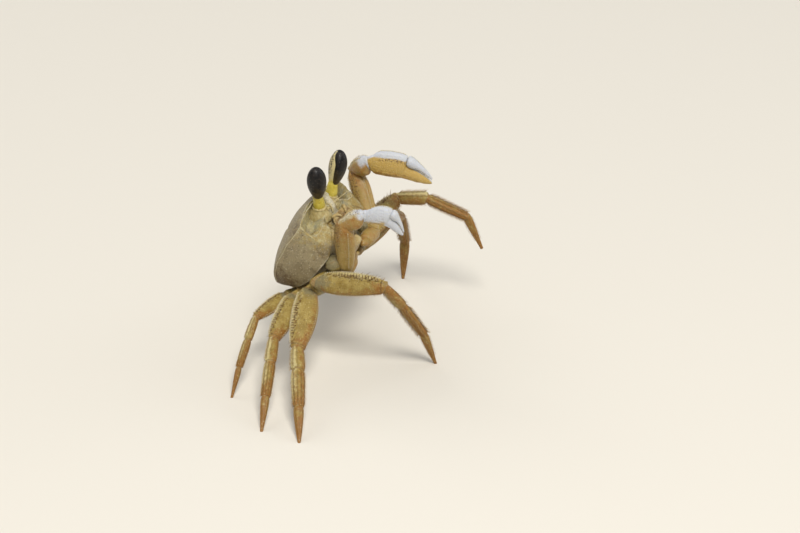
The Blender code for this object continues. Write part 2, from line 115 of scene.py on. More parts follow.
def rounded(name, node, levels=3, hold=EDGE_HOLD):
    """Round off one solid of the frame so that it still passes near its own corners."""
    bm = bmesh.new()
    bm.from_mesh(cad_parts[node].data)
    bmesh.ops.remove_doubles(bm, verts=bm.verts, dist=WELD)
    bmesh.ops.join_triangles(bm, faces=bm.faces, angle_face_threshold=FLAT_TURN,
                             angle_shape_threshold=SQUARE_TURN)
    mesh = new_mesh(node + "_cage", [v.co for v in bm.verts],
                    [[v.index for v in face.verts] for face in bm.faces])
    bm.free()
    bm = bmesh.new()
    bm.from_mesh(mesh)
    bmesh.ops.recalc_face_normals(bm, faces=bm.faces)
    crease = bm.edges.layers.float.new("crease_edge")
    for edge in bm.edges:
        if len(edge.link_faces) == 2 and edge.calc_face_angle(0) > HARD_FOLD:
            edge[crease] = hold
    bm.to_mesh(mesh)
    bm.free()
    cage = add(node + "_cage", mesh)
    rounding = cage.modifiers.new("rounding", "SUBSURF")
    rounding.levels = 1
    wanted = places(mesh)
    for _ in range(2):
        evaluated = cage.evaluated_get(bpy.context.evaluated_depsgraph_get())
        reached = places(evaluated.data)[:len(wanted)]
        reshape(mesh, places(mesh) + (wanted - reached) * CAGE_PULL)
    rounding.levels = levels
    evaluated = cage.evaluated_get(bpy.context.evaluated_depsgraph_get())
    made = bpy.data.meshes.new_from_object(evaluated)
    bpy.data.objects.remove(cage)
    made.name = name
    return made


def shares(points):
    """Places on the body as shares of the shell's width: forward, sideways, toward the back."""
    off = (points - CENTRE) / SHELL_WIDTH
    return off @ FORWARD, off @ SIDE, off @ BACK


def ramp(low, high, x):
    t = np.clip((x - low) / (high - low), 0, 1)
    return t * t * (3 - 2 * t)


def hump(x, width):
    return np.exp(-(x / width) ** 2)


def on_line(across, along, path):
    """For each point its distance to a bent line, and how far along the line it lies, 0 to 1."""
    path = np.array(path)
    steps = np.hypot(*np.diff(path, axis=0).T)
    best = np.full(len(across), 1e9)
    share = np.zeros(len(across))
    done = 0.0
    for (x0, y0), (x1, y1), step in zip(path, path[1:], steps):
        dx = x1 - x0
        dy = y1 - y0
        t = np.clip(((across - x0) * dx + (along - y0) * dy) / step ** 2, 0, 1)
        gap = np.hypot(across - x0 - t * dx, along - y0 - t * dy)
        share = np.where(gap < best, (done + t * step) / steps.sum(), share)
        best = np.minimum(best, gap)
        done += step
    return best, share


def grains(points, size, seed):
    """Rounded grains some millimetres wide, 1 at the top of each and 0 between them."""
    size *= MM
    shift = Vector((seed, seed * 1.7, seed * 0.3))
    near = np.array([noise.voronoi(Vector(p) / size + shift)[0][0] for p in points])
    return (1 - np.minimum(1.0, near / GRAIN_HALF)) ** 0.7


def drift(points, size, seed):
    """Slow unevenness from -1 to 1, in waves some millimetres long."""
    size *= MM
    shift = Vector((seed, seed * 1.3, -seed))
    return np.array([noise.noise(Vector(p) / size + shift) for p in points])


def paint(red, green, blue):
    """A colour named on the usual 0 to 255 scale, as light."""
    return tuple((v / 255) ** 2.2 for v in (red, green, blue)) + (1,)


def put(tree, kind, inputs=None, **settings):
    """Add one shader node, with its settings, and feed or set its sockets."""
    node = tree.nodes.new(kind)
    for key, value in settings.items():
        setattr(node, key, value)
    for key, value in (inputs or {}).items():
        if isinstance(value, bpy.types.NodeSocket):
            tree.links.new(value, node.inputs[key])
        else:
            node.inputs[key].default_value = value
    return node


def calc(tree, operation, *values):
    """One step of arithmetic on shader values."""
    return put(tree, "ShaderNodeMath", dict(enumerate(values)), operation=operation).outputs[0]


def stretch(tree, value, low, high, to_low=0.0, to_high=1.0, shape="LINEAR"):
    """Spread a shader value from one range over another."""
    ends = {"Value": value, "From Min": low, "From Max": high, "To Min": to_low, "To Max": to_high}
    return put(tree, "ShaderNodeMapRange", ends, interpolation_type=shape).outputs[0]


def mix(tree, amount, under, over, **settings):
    return put(tree, "ShaderNodeMix", {0: amount, 6: under, 7: over}, data_type="RGBA",
               **settings).outputs[2]


def texture(tree, kind, given, size=None, **inputs):
    """A procedural texture laid out by place, its cells as large as the size if one is given."""
    if size is not None:
        inputs["Scale"] = calc(tree, "DIVIDE", 1.0, size)
    return put(tree, "ShaderNodeTex" + kind, {"Vector": given["Place"], **inputs}).outputs


def new_effect(name, inputs, outputs):
    """An empty shader group with named sockets."""
    tree = bpy.data.node_groups.new(name, "ShaderNodeTree")
    for label in inputs:
        kind = "NodeSocketVector" if label == "Place" else "NodeSocketFloat"
        tree.interface.new_socket(label, in_out="INPUT", socket_type=kind)
    for label in outputs:
        tree.interface.new_socket(label, in_out="OUTPUT", socket_type="NodeSocketFloat")
    return tree, tree.nodes.new("NodeGroupInput").outputs, tree.nodes.new("NodeGroupOutput").inputs


def make_grain_effect():
    """Tiny rounded grains: a height for the bump and a painted shade for the hollows between the
    grains.
    """
    tree, given, out = new_effect("chitin grain", ("Place", "Size"), ("Height", "Hollow shade"))
    cells = texture(tree, "Voronoi", given, given["Size"])
    high = stretch(tree, cells["Distance"], 0.55, 0.05, shape="SMOOTHSTEP")
    fine = texture(tree, "Noise", given, Scale=9.0, Detail=3.0)
    tree.links.new(calc(tree, "MULTIPLY_ADD", fine["Fac"], 0.45, high), out["Height"])
    tree.links.new(calc(tree, "SUBTRACT", 1.0, high), out["Hollow shade"])
    return tree


def make_patch_effect():
    """Turns a soft mask into a patch with a ragged, clouded edge."""
    tree, given, out = new_effect("ragged patch", ("Place", "Mask", "Size", "Ragged"), ("Mask",))
    cloud = texture(tree, "Noise", given, given["Size"], Detail=5.0, Roughness=0.62)
    push = stretch(tree, cloud["Fac"], 0.3, 0.7, -0.5, 0.5)
    edge = calc(tree, "MULTIPLY_ADD", push, given["Ragged"], given["Mask"])
    edge = stretch(tree, edge, 0.15, 0.85, shape="SMOOTHSTEP")
    start = stretch(tree, given["Mask"], 0.0, 0.12)
    tree.links.new(calc(tree, "MULTIPLY", edge, start), out["Mask"])
    return tree


def make_freckle_effect():
    """Scattered round freckles of pigment; Share is how many of the cells carry one."""
    tree, given, out = new_effect("freckles", ("Place", "Size", "Share", "Spread"), ("Mask",))
    cells = texture(tree, "Voronoi", given, given["Size"])
    chance = put(tree, "ShaderNodeSeparateColor", {"Color": cells["Color"]}).outputs
    chosen = calc(tree, "LESS_THAN", chance[0], given["Share"])
    reach = calc(tree, "MULTIPLY", given["Spread"], chance[1])
    dot = stretch(tree, cells["Distance"], reach, 0.0, shape="SMOOTHSTEP")
    tree.links.new(calc(tree, "MULTIPLY", dot, chosen), out["Mask"])
    return tree


GRAIN = make_grain_effect()
PATCH = make_patch_effect()
FRECKLES = make_freckle_effect()
# painted shade, multiplied into the hollows between the grains of every finish
GRAIN_HOLLOW_SHADE = (0.32, 0.25, 0.17, 1)


def new_finish(name):
    made = bpy.data.materials.new(name)
    made.use_nodes = True
    return made, made.node_tree, made.node_tree.nodes["Principled BSDF"].inputs


def chitin(name, ground, clouds, layers, freckles, grain, rough=(0.42, 0.6), glow=0.10, gap=0.25):
    """Finish of one kind of plate.

    clouds: second ground colour and cloud size; layers: (mask, colour, cloud size, raggedness);
    freckles: (colour, size, share, spread); grain: (size, depth); rough: lowest and highest;
    glow: light let in; gap: strength of the painted shade between the grains.  All sizes are in
    millimetres.
    """
    made, tree, shader = new_finish(name)
    where = put(tree, "ShaderNodeTexCoord").outputs["Object"]
    where = put(tree, "ShaderNodeVectorMath", {0: where, "Scale": 1 / MM}, operation="SCALE")

    def group(which, **values):
        inputs = {"Place": where.outputs[0], **values}
        return put(tree, "ShaderNodeGroup", inputs, node_tree=which).outputs

    cloud = group(PATCH, Mask=0.5, Size=clouds[1], Ragged=1.0)["Mask"]
    colour = mix(tree, cloud, paint(*ground), paint(*clouds[0]))
    for mask, shade, size, ragged in layers:
        spread = put(tree, "ShaderNodeAttribute", attribute_name=mask).outputs["Fac"]
        patch = group(PATCH, Mask=spread, Size=size, Ragged=ragged)["Mask"]
        colour = mix(tree, patch, colour, paint(*shade))
    for shade, size, share, spread in freckles:
        dots = group(FRECKLES, Size=size, Share=share, Spread=spread)["Mask"]
        colour = mix(tree, dots, colour, paint(*shade))
    grained = group(GRAIN, Size=grain[0])
    # painted shade: the colour is darkened in the hollows between the grains
    shaded = calc(tree, "MULTIPLY", grained["Hollow shade"], gap)
    colour = mix(tree, shaded, colour, GRAIN_HOLLOW_SHADE, blend_type="MULTIPLY")
    tree.links.new(colour, shader["Base Color"])
    tree.links.new(stretch(tree, cloud, 0.0, 1.0, *rough), shader["Roughness"])
    bump = put(tree, "ShaderNodeBump", {"Strength": 1.0, "Distance": grain[1] * MM,
                                        "Height": grained["Height"]})
    tree.links.new(bump.outputs[0], shader["Normal"])
    shader["Subsurface Weight"].default_value = glow
    shader["Subsurface Radius"].default_value = (1.0, 0.7, 0.4)
    shader["Subsurface Scale"].default_value = 0.6 * MM
    return made


def fit(mesh, finish, slot, *nodes):
    """Set one finished piece in place of the solids that it stands for."""
    mesh.materials.clear()
    mesh.materials.append(finish)
    mesh.shade_smooth()
    made = add(mesh.name, mesh)
    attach(made, "root")
    if nodes:
        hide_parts(*nodes)
    return made


def relax(mesh, weight, rounds):
    """Even out the points of a mesh where the weight is high."""
    ends = np.empty(len(mesh.edges) * 2, int)
    mesh.edges.foreach_get("vertices", ends)
    a, b = ends.reshape(-1, 2).T
    points = places(mesh)
    count = len(points)
    ties = np.bincount(a, minlength=count) + np.bincount(b, minlength=count)
    for _ in range(rounds):
        for axis in range(3):
            line = points[:, axis]
            total = np.bincount(a, line[b], count) + np.bincount(b, line[a], count)
            points[:, axis] = line + (total / ties - line) * weight * 0.6
    reshape(mesh, points)


CHEEK_EDGE = ((0.31, 0.455, -0.03), (0.30, 0.455, -0.10), (0.27, 0.42, -0.20), (0.25, 0.385, -0.30))
# the grooves of the dome: depth, half width and path (sideways, forward) from the middle line
GROOVES = ((1.0, 0.014, ((0.0, 0.03), (0.075, 0.02), (0.10, -0.06), (0.135, -0.20))),
           (0.8, 0.013, ((0.10, 0.0), (0.20, 0.075), (0.30, 0.13), (0.36, 0.20))),
           (0.6, 0.010, ((0.0, 0.27), (0.045, 0.33))),
           (0.6, 0.010, ((0.0, -0.10), (0.06, -0.11), (0.10, -0.08))))
UNDER_EDGE = ((-0.36, -0.11), (-0.30, -0.185), (-0.16, -0.262), (0.03, -0.305), (0.18, -0.330))


def cheek_gap(f, s, b):
    """Distance from the edge where the front turns into the side wall, in shares."""
    far = np.abs(s)
    best = np.full(len(f), 9.0)
    for start, end in zip(CHEEK_EDGE, CHEEK_EDGE[1:]):
        for t in np.linspace(0, 1, 9):
            f0, s0, b0 = (1 - t) * np.array(start) + t * np.array(end)
            best = np.minimum(best, np.sqrt((f - f0) ** 2 + (far - s0) ** 2 + (b - b0) ** 2))
    return best


def shape_shell():
    mesh = rounded("shell", "carapace")
    f, s, b = shares(places(mesh))
    soft = hump(cheek_gap(f, s, b), 0.07) * ramp(-0.035, -0.075, b)
    relax(mesh, soft, 90)
    lip = ramp(0.18, 0.24, f) * ramp(-0.17, -0.24, b) * ramp(0.42, 0.36, np.abs(s))
    relax(mesh, 0.8 * lip, 25)
    points = places(mesh)
    normals = outward(mesh)
    f, s, b = shares(points)
    far = np.abs(s)
    upward = normals @ BACK
    ahead = normals @ FORWARD
    aside = np.abs(normals @ SIDE)
    domed = ramp(0.35, 0.75, upward) * ramp(-0.08, 0.0, b)
    wall = ramp(0.3, 0.75, aside) * (1 - domed) * ramp(-0.38, -0.30, b)
    face = ramp(0.2, 0.5, ahead) * ramp(0.20, 0.27, f) * (1 - domed)
    hollow = ramp(0.27, 0.32, f) * (1 - domed) * ramp(-0.26, -0.19, b)
    groove = sum(deep * hump(on_line(far, f, path)[0], wide) for deep, wide, path in GROOVES)
    lift = -0.010 * groove * domed
    lift += 0.0016 * drift(points, 3.2, 4.0) * (1 - face * 0.5)
    coarse = grains(points, 0.62, 3.0)
    lift += 0.0030 * coarse * domed * ramp(0.20, 0.42, far)
    lift += 0.0018 * coarse * wall
    lift += 0.0024 * coarse * face
    streaks = drift(points @ np.array((SIDE * 0.35, FORWARD, BACK * 1.6)).T, 1.5, 9.0)
    lift += 0.0035 * streaks * face * ramp(-0.30, -0.10, b)
    raise_skin(mesh, lift * SHELL_WIDTH)
    gap = cheek_gap(f, s, b)
    rear = ramp(0.0, -0.34, f)
    front = np.maximum(face * ramp(-0.36, -0.16, b), hollow) * (0.6 + 0.4 * ramp(0.0, 0.12, gap))
    warm = face * (0.14 + 0.35 * ramp(-0.10, -0.17, b)) * ramp(0.0, 0.1, gap)
    mauve = 0.95 * rear * ramp(-0.26, -0.12, b)
    mauve += 0.22 * hump(f - 0.14, 0.11) * ramp(-0.12, -0.26, b)
    under_edge = hump(on_line(f, b, UNDER_EDGE)[0], 0.012) * ramp(0.3, 0.36, far)
    mark(mesh, yellow=np.maximum(front, 0.42 * hump(gap, 0.20) * ramp(-0.36, -0.12, b)),
         pits=face * (0.24 + 0.25 * hump(b + 0.07, 0.06)), amber=warm + 0.42 * hump(gap, 0.14),
         lilac=wall * mauve, dusk=0.6 * domed * ramp(0.0, 0.28, f) * ramp(0.20, 0.42, far),
         pale=0.8 * under_edge + 0.85 * face * ramp(0.17, 0.03, far))
    return mesh


shell_finish = chitin(
    "shell", (140, 127, 97), ((162, 149, 116), 2.6),
    [("yellow", (194, 184, 136), 1.6, 0.5), ("lilac", (108, 88, 60), 1.8, 0.9),
     ("pits", (152, 150, 126), 1.3, 0.9), ("amber", (172, 148, 84), 1.1, 0.8),
     ("dusk", (114, 98, 72), 1.2, 0.7), ("pale", (214, 206, 178), 0.8, 0.6)],
    [((76, 62, 44), 0.34, 0.42, 0.74), ((222, 214, 188), 0.30, 0.38, 0.70)],
    (0.28, 0.11))
shell = fit(shape_shell(), shell_finish, "shell", "carapace")

# ---------------------------------------------------------------- beads along the shell's edges
# The edges of the case carry a close row of small pale beads of the same chitin, finest over
# the eyes and largest at the outer corner of each eye hollow.  They are grown onto the edge.
SIDES = {"left": 1, "right": -1}
BEAD_SINK = 0.3


def bead_form():
    bm = bmesh.new()
    bmesh.ops.create_icosphere(bm, subdivisions=2, radius=1.0)
    points = np.array([v.co[:] for v in bm.verts])
    faces = np.array([[v.index for v in face.verts] for face in bm.faces])
    bm.free()
    return points, faces


BEAD_POINTS, BEAD_FACES = bead_form()


def unit(way):
    way = np.asarray(way, float)
    return way / np.linalg.norm(way)


def bead_mesh(name, forms):
    """One mesh of many balls, each given by its own pulled and placed points."""
    faces = [BEAD_FACES + i * len(BEAD_POINTS) for i in range(len(forms))]
    return new_mesh(name, np.concatenate(forms), np.concatenate(faces))


def beads(name, rows):
    """One mesh of many beads; a row is (place, outward way, run of the edge, half sizes)."""
    forms = []
    for place, out, run, sizes in rows:
        out = unit(out)
        run = unit(run - out * np.dot(run, out))
        ways = np.array((run, np.cross(out, run), out))
        forms.append(place + out * (sizes[2] * BEAD_SINK) + (BEAD_POINTS * sizes) @ ways)
    return bead_mesh(name, forms)


def edge_beads(mesh, key, spread, pick, levels, gap, out, sizes, swell=0.0):
    """Beads at an even gap along the outermost points of a mesh, found slice by slice."""
    points = places(mesh)
    line = []
    for level in np.linspace(*levels):
        near = np.abs(key - level) < spread
        if near.any():
            line.append(points[near][np.argmax(pick[near])])
    line = np.array(line)
    for _ in range(3):
        line[1:-1] = (line[:-2] + 2 * line[1:-1] + line[2:]) / 4
    reach = np.append(0, np.cumsum(np.linalg.norm(np.diff(line, axis=0), axis=1)))
    wanted = np.arange(gap * MM / 2, reach[-1], gap * MM)
    spots = np.stack([np.interp(wanted, reach, line[:, i]) for i in range(3)], axis=1)
    sizes = np.array(sizes) * MM
    return [(spot, out, run, sizes * (1 + swell * ramp(0.0, 0.4, shares(spot)[0])))
            for spot, run in zip(spots, np.gradient(spots, axis=0))]


def shell_beads(shell):
    f, s, b = shares(places(shell))
    over = np.where(b > -0.07, f, -9.0)
    under = np.where((b < -0.085) & (b > -0.19), f, -9.0)
    rows = []
    for side in SIDES.values():
        beside = np.where(side * s > 0, np.abs(s), -9.0)
        rows += edge_beads(shell, f, 0.012, beside, (-0.36, 0.40, 40),
                           0.52, side * SIDE * 0.8 + BACK * 0.5, (0.161, 0.14, 0.14), 0.35)
        rows += edge_beads(shell, side * s, 0.008, over, (0.07, 0.45, 40),
                           0.46, FORWARD + BACK * 0.3, (0.15, 0.12, 0.13))
        rows += edge_beads(shell, side * s, 0.008, under, (0.10, 0.42, 36),
                           0.50, FORWARD, (0.16, 0.13, 0.16))
    rows += edge_beads(shell, s, 0.008, np.where(b > -0.12, f, -9.0), (-0.07, 0.07, 15),
                       0.42, FORWARD, (0.15, 0.13, 0.13))
    return beads("shell_beads", rows)


bead_finish = chitin(
    "pale beads", (188, 176, 140), ((210, 202, 172), 1.0), [],
    [((140, 118, 84), 0.5, 0.2, 0.6)], (0.22, 0.03), (0.35, 0.5), 0.15)
fit(shell_beads(shell.data), bead_finish, "shell")

# ---------------------------------------------------------------- the underside
# Below the case lie the breast plate, rings of thin chitin fused with a seam between each pair
# of legs, and the narrow tail flap of six jointed plates folded up against it.
BREAST_SEAMS = (0.115, 0.01, -0.09, -0.19, -0.28)
FLAP_LINE = ((-0.462, -0.085), (-0.462, -0.150), (-0.435, -0.235), (-0.375, -0.315),
             (-0.290, -0.362), (-0.180, -0.410), (-0.060, -0.440), (0.040, -0.458), (0.090, -0.466))
FLAP_SEAMS = (0.10, 0.25, 0.40, 0.55, 0.70, 0.86)


def shape_breast():
    mesh = rounded("breast_plate", "sternum")
    points = places(mesh)
    f, s, b = shares(points)
    far = np.abs(s)
    below = ramp(0.2, 0.7, -(outward(mesh) @ BACK))
    seams = sum(hump(f - seam + 0.25 * far, 0.010) for seam in BREAST_SEAMS)
    lift = 0.35 * grains(points, 0.5, 8.0) - 0.55 * seams * ramp(0.02, 0.06, far)
    lift -= 0.6 * hump(far, 0.010) * ramp(0.0, 0.1, f)
    raise_skin(mesh, lift * below * 0.4 * MM)
    mark(mesh, dusk=below * 0.5 * ramp(0.10, 0.22, far))
    return mesh


def shape_flap():
    mesh = rounded("tail_flap", "abdomen")
    points = places(mesh)
    f, s, b = shares(points)
    share = on_line(f, b, FLAP_LINE)[1]
    lift = 0.04 * grains(points, 0.5, 5.0)
    for seam in FLAP_SEAMS:
        lift += 0.06 * hump(share - seam - 0.02, 0.012) - 0.20 * hump(share - seam, 0.008)
    raise_skin(mesh, lift * MM)
    mark(mesh, dusk=0.6 * sum(hump(share - seam, 0.012) for seam in FLAP_SEAMS))
    return mesh


under_finish = chitin(
    "underside plates", (174, 148, 88), ((196, 178, 128), 2.4),
    [("dusk", (166, 144, 104), 1.2, 0.8)],
    [((150, 126, 84), 0.45, 0.25, 0.6)], (0.34, 0.06), (0.4, 0.55), 0.15)
fit(shape_breast(), under_finish, "underside", "sternum")
fit(shape_flap(), under_finish, "underside", "abdomen")

# ---------------------------------------------------------------- the mouth plates
# A pair of flat outer jaws of chitin closes the mouth like doors, hinged at their lower ends.
# Each has a long lower plate, a short upper one, a groove beside its inner edge and a small palp.
JAW_HINGE = -0.205


def shape_jaw(side):
    mesh = rounded("jaw_" + side, "maxilliped_" + side)
    points = places(mesh)
    f, s, b = shares(points)
    far = np.abs(s)
    ahead = ramp(0.2, 0.7, outward(mesh) @ FORWARD)
    lift = 0.10 * grains(points, 0.42, 6.0)
    lift -= 0.30 * hump(b - JAW_HINGE - 0.12 * (far - 0.08), 0.007)
    lift -= 0.22 * hump(far - 0.052, 0.008) * ramp(JAW_HINGE + 0.01, JAW_HINGE - 0.02, b)
    raise_skin(mesh, lift * ahead * MM)
    mark(mesh, warm=ahead * (0.35 + 0.5 * hump(far - 0.02, 0.03)),
         dusk=ahead * hump(b - JAW_HINGE, 0.012) * 0.6)
    return mesh


def walls(rings, count):
    """The faces between neighbouring closed rings of points."""
    faces = []
    for low in range(0, (rings - 1) * count, count):
        for i in range(count):
            j = (i + 1) % count
            faces.append((low + i, low + j, low + count + j, low + count + i))
    return faces


def tube(name, path, radii, count=10):
    """A tapering round-ended tube along a smooth run of places."""
    path = np.array(path, float)
    runs = np.gradient(path, axis=0)
    turns = np.linspace(0, 2 * math.pi, count, endpoint=False)
    side_way = unit(np.cross(runs[0], (0.3, 0.5, 0.8)))
    rings = []
    for place, run, radius in zip(path, runs, radii):
        run = unit(run)
        side_way = unit(side_way - run * np.dot(side_way, run))
        ways = np.outer(np.cos(turns), side_way) + np.outer(np.sin(turns), np.cross(run, side_way))
        rings.append(place + radius * ways)
    points = np.concatenate(rings + [path[:1], path[-1:]])
    faces = walls(len(path), count)
    last = len(points) - 1
    base = (len(path) - 1) * count
    for i in range(count):
        j = (i + 1) % count
        faces += [(last - 1, j, i), (last, base + i, base + j)]
    return new_mesh(name, points, faces)


PALP_PATH = ((0.335, 0.118, -0.158), (0.385, 0.085, -0.160), (0.352, 0.045, -0.215))
PALP_RADII = (0.30, 0.48, 0.52, 0.50, 0.40, 0.44, 0.46, 0.42, 0.33, 0.36, 0.30, 0.12)


def body_place(forward, side, back):
    return CENTRE + SHELL_WIDTH * (forward * FORWARD + side * SIDE + back * BACK)


def body_bow(path, side, count):
    """A smooth arc on the body: start, pulling point and end are given for the left side."""
    start, middle, end = (body_place(f, SIDES[side] * s, b) for f, s, b in path)
    t = np.linspace(0, 1, count)[:, None]
    return (1 - t) ** 2 * start + 2 * t * (1 - t) * middle + t ** 2 * end


def make_palp(side):
    path = body_bow(PALP_PATH, side, len(PALP_RADII))
    return tube("palp_" + side, path, np.array(PALP_RADII) * MM)


mouth_finish = chitin(
    "mouth plates", (176, 152, 96), ((196, 178, 128), 1.4),
    [("warm", (168, 140, 92), 0.9, 0.9), ("dusk", (120, 92, 60), 0.8, 0.6)],
    [((104, 76, 48), 0.4, 0.3, 0.6)], (0.30, 0.06), (0.38, 0.55), 0.15)
for side in SIDES:
    fit(shape_jaw(side), mouth_finish, "mouth", "maxilliped_" + side)
    fit(make_palp(side), mouth_finish, "mouth")

# ---------------------------------------------------------------- the eyes
# Each eye is a yellow stalk that narrows to a cream strip up the inner side, wrapped by a long
# egg-shaped cornea of thousands of tiny facets.  The stalk's foot sits in a soft collar.
EYE_SKEW = 1.32
EYE_ROUND = 0.47
EYE_HALF = 2.68 * MM
STUB_HALF = 1.34 * MM
STRIP_HALF = math.radians(58)
STRIP_RISE = 0.20
STRIP_SINK = 0.07
STRIP_LOW = -0.12
STRIP_HIGH = 0.975
EYE_PINCH = 0.22
CORNEA_SKIRT = 0.55 * MM
CORNEA_CROWN = 0.12 * MM
# the collar's rings: height on the stalk and radius, in millimetres
COLLAR = np.array(((-3.2, 3.3), (-2.6, 3.2), (-2.0, 3.05), (-1.5, 2.85), (-1.0, 2.6), (-0.6, 2.35),
                   (-0.3, 2.15), (0.0, 1.95), (0.2, 1.9), (0.35, 1.95), (0.5, 1.9), (0.62, 1.8),
                   (0.72, 1.66), (0.78, 1.5), (0.7, 1.2))) * MM


def corners(node):
    """The corner places of one solid of the frame."""
    return places(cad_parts[node].data)


class Eye:
    """Foot, cornea's lower end and length, and the three ways of one eye, from its solids."""

    def __init__(self, side):
        stalk = corners("eyestalk_" + side)
        cornea = corners("cornea_" + side)
        self.foot = stalk[stalk[:, 2] < stalk[:, 2].min() + 0.4 * MM].mean(axis=0)
        top = cornea[cornea[:, 2] > cornea[:, 2].max() - 0.25 * MM].mean(axis=0)
        inner = stalk[stalk[:, 2] > stalk[:, 2].max() - 2.5 * MM].mean(axis=0) - cornea.mean(axis=0)
        self.along = unit(top - self.foot)
        self.inner = unit(inner - self.along * np.dot(inner, self.along))
        self.across = np.cross(self.along, self.inner)
        heights = (cornea - self.foot) @ self.along
        self.low = heights.min() - CORNEA_SKIRT
        self.length = heights.max() + CORNEA_CROWN - self.low

    def at(self, heights):
        return self.foot + np.outer(heights, self.along)

    def share(self, points):
        """How far up the cornea points lie, from its lower end (0) to its top (1)."""
        return ((points - self.foot) @ self.along - self.low) / self.length

    def pinch(self, mesh):
        """Flatten the inner side of an eye, where the stalk runs up it."""
        points = places(mesh)
        off = np.maximum((points - self.foot) @ self.inner, 0)
        flat = EYE_PINCH * ramp(0.0, 0.3, self.share(points))
        reshape(mesh, points - np.outer(off * flat, self.inner))


def egg(t):
    """Half width of the cornea from its lower end (0) to its top (1), as a share."""
    return np.clip(np.sin(math.pi * np.clip(t, 0, 1) ** EYE_SKEW), 0, 1) ** EYE_ROUND


def make_cornea(eye, side):
    t = (1 - np.cos(np.linspace(0, math.pi, 56))) / 2
    mesh = tube("cornea_skin_" + side, eye.at(eye.low + t * eye.length),
                egg(t) * EYE_HALF + 0.01 * MM, 72)
    mark(mesh, low=ramp(0.80, 0.0, eye.share(places(mesh))))
    eye.pinch(mesh)
    return mesh


def make_strip(eye, side):
    """The upper part of the stalk: a low rounded band up the inner side of the cornea."""
    levels = np.linspace(STRIP_LOW, STRIP_HIGH, 60)
    turns = np.linspace(-1, 1, 33)
    points = []
    for t in levels:
        stub = STUB_HALF * ramp(0.5, 0.1, t) + 0.1 * MM
        reach = max(egg(t) * EYE_HALF, stub)
        half = STRIP_HALF * (1 + 0.35 * ramp(0.3, 0.0, t)) * (1 - 0.72 * ramp(0.62, 0.98, t))
        middle = eye.foot + eye.along * (eye.low + eye.length * t)
        ways = np.outer(np.cos(half * turns), eye.inner)
        ways += np.outer(np.sin(half * turns), eye.across)
        raised = (STRIP_RISE * (1 - turns ** 4) - STRIP_SINK) * MM * (1 - 0.6 * ramp(0.8, 1.0, t))
        points += [middle + ways * (reach + raised)[:, None], middle + ways[::-1] * reach * 0.6]
    wide = len(turns)
    ring = 2 * wide
    faces = walls(len(levels), ring)
    top = (len(levels) - 1) * ring
    for i in range(wide - 1):
        core = ring - 1 - i
        faces += [(core, core - 1, i + 1, i), (top + i, top + i + 1, top + core - 1, top + core)]
    mesh = new_mesh("stalk_strip_" + side, np.concatenate(points), faces)
    share = eye.share(places(mesh))
    rear = ((places(mesh) - eye.foot) @ np.cross(eye.along, SIDE)) / EYE_HALF
    mark(mesh, cream=ramp(0.10, 0.34, share),
         specks=0.56 * ramp(0.22, 0.60, rear) * ramp(0.16, 0.40, share))
    eye.pinch(mesh)
    return mesh


def make_stalk(eye, side):
    heights = np.linspace(-0.8 * MM, eye.low + 1.6 * MM, 30)
    t = np.linspace(0, 1, 30)
    radii = STUB_HALF * (0.94 + 0.26 * hump(t - 0.42, 0.30) - 0.3 * ramp(0.9, 1, t))
    mesh = tube("stalk_" + side, eye.at(heights), radii, 32)
    mark(mesh, specks=0.35 * ramp(0.6 * MM, -0.9 * MM, (places(mesh) - eye.foot) @ eye.along))
    return mesh


def make_collar(eye, side):
    """A low mound of soft folded skin round the foot of the stalk."""
    heights, radii = COLLAR.T
    mesh = tube("eye_collar_" + side, eye.at(heights), radii, 48)
    raise_skin(mesh, drift(places(mesh), 0.9, 6.0) * 0.22 * MM)
    return mesh


stalk_finish = chitin(
    "eye stalks", (196, 176, 58), ((208, 192, 84), 1.2),
    [("cream", (208, 194, 140), 0.8, 0.5), ("specks", (52, 36, 26), 0.34, 1.8)],
    [((120, 92, 44), 0.45, 0.15, 0.6)], (0.24, 0.03), (0.35, 0.5), 0.15)
soft_finish = chitin(
    "pale soft skin", (202, 188, 136), ((176, 158, 104), 0.9), [], [],
    (0.20, 0.03), (0.45, 0.6), 0.25)
# fine facets, near black above and brown-grey toward the foot, a little glossy
cornea_finish = chitin(
    "cornea", (10, 8, 8), ((34, 28, 24), 1.0), [("low", (70, 58, 36), 1.2, 0.5)],
    [((92, 86, 76), 0.30, 0.34, 0.7)], (0.13, 0.014), (0.36, 0.50), 0.0, 0.35)
cornea_shader = cornea_finish.node_tree.nodes["Principled BSDF"].inputs
cornea_shader["Specular IOR Level"].default_value = 0.3
cornea_shader["Coat Weight"].default_value = 0.06
for side in SIDES:
    eye = Eye(side)
    fit(make_cornea(eye, side), cornea_finish, "cornea", "cornea_" + side)
    fit(make_stalk(eye, side), stalk_finish, "stalk", "eyestalk_" + side)
    fit(make_strip(eye, side), stalk_finish, "stalk")
    fit(make_collar(eye, side), soft_finish, "stalk")

# ---------------------------------------------------------------- the feelers
# Under each eye's inner corner stands a short feeler: three stout joints of shell and a thin
# whip of many rings.  A smaller pair is folded away under the brow between the eyes.
FEELER_PATH = ((0.352, 0.088, -0.082), (0.415, 0.100, -0.100), (0.470, 0.185, -0.135))
SMALL_PATH = ((0.372, 0.018, -0.060), (0.395, 0.030, -0.085), (0.350, 0.052, -0.128))
WHIP_RINGS = 26


def make_feeler(side):
    t = np.linspace(0, 1, 64)
    stout = 0.46 * ramp(0.36, 0.28, t) + 0.10 * ramp(0.30, 0.36, t) * (1 - 0.55 * t)
    joints = 1 - 0.22 * hump(t - 0.12, 0.018) - 0.22 * hump(t - 0.23, 0.018)
    rings = 1 + 0.10 * np.sin(t * 2 * math.pi * WHIP_RINGS) * ramp(0.34, 0.4, t)
    radii = (stout * joints * rings + 0.035) * MM
    return tube("feeler_" + side, body_bow(FEELER_PATH, side, len(t)), radii, 14)


def make_small_feeler(side):
    t = np.linspace(0, 1, 24)
    radii = (0.30 + 0.14 * hump(t - 0.3, 0.2) - 0.14 * t) * MM
    return tube("small_feeler_" + side, body_bow(SMALL_PATH, side, len(t)), radii, 12)


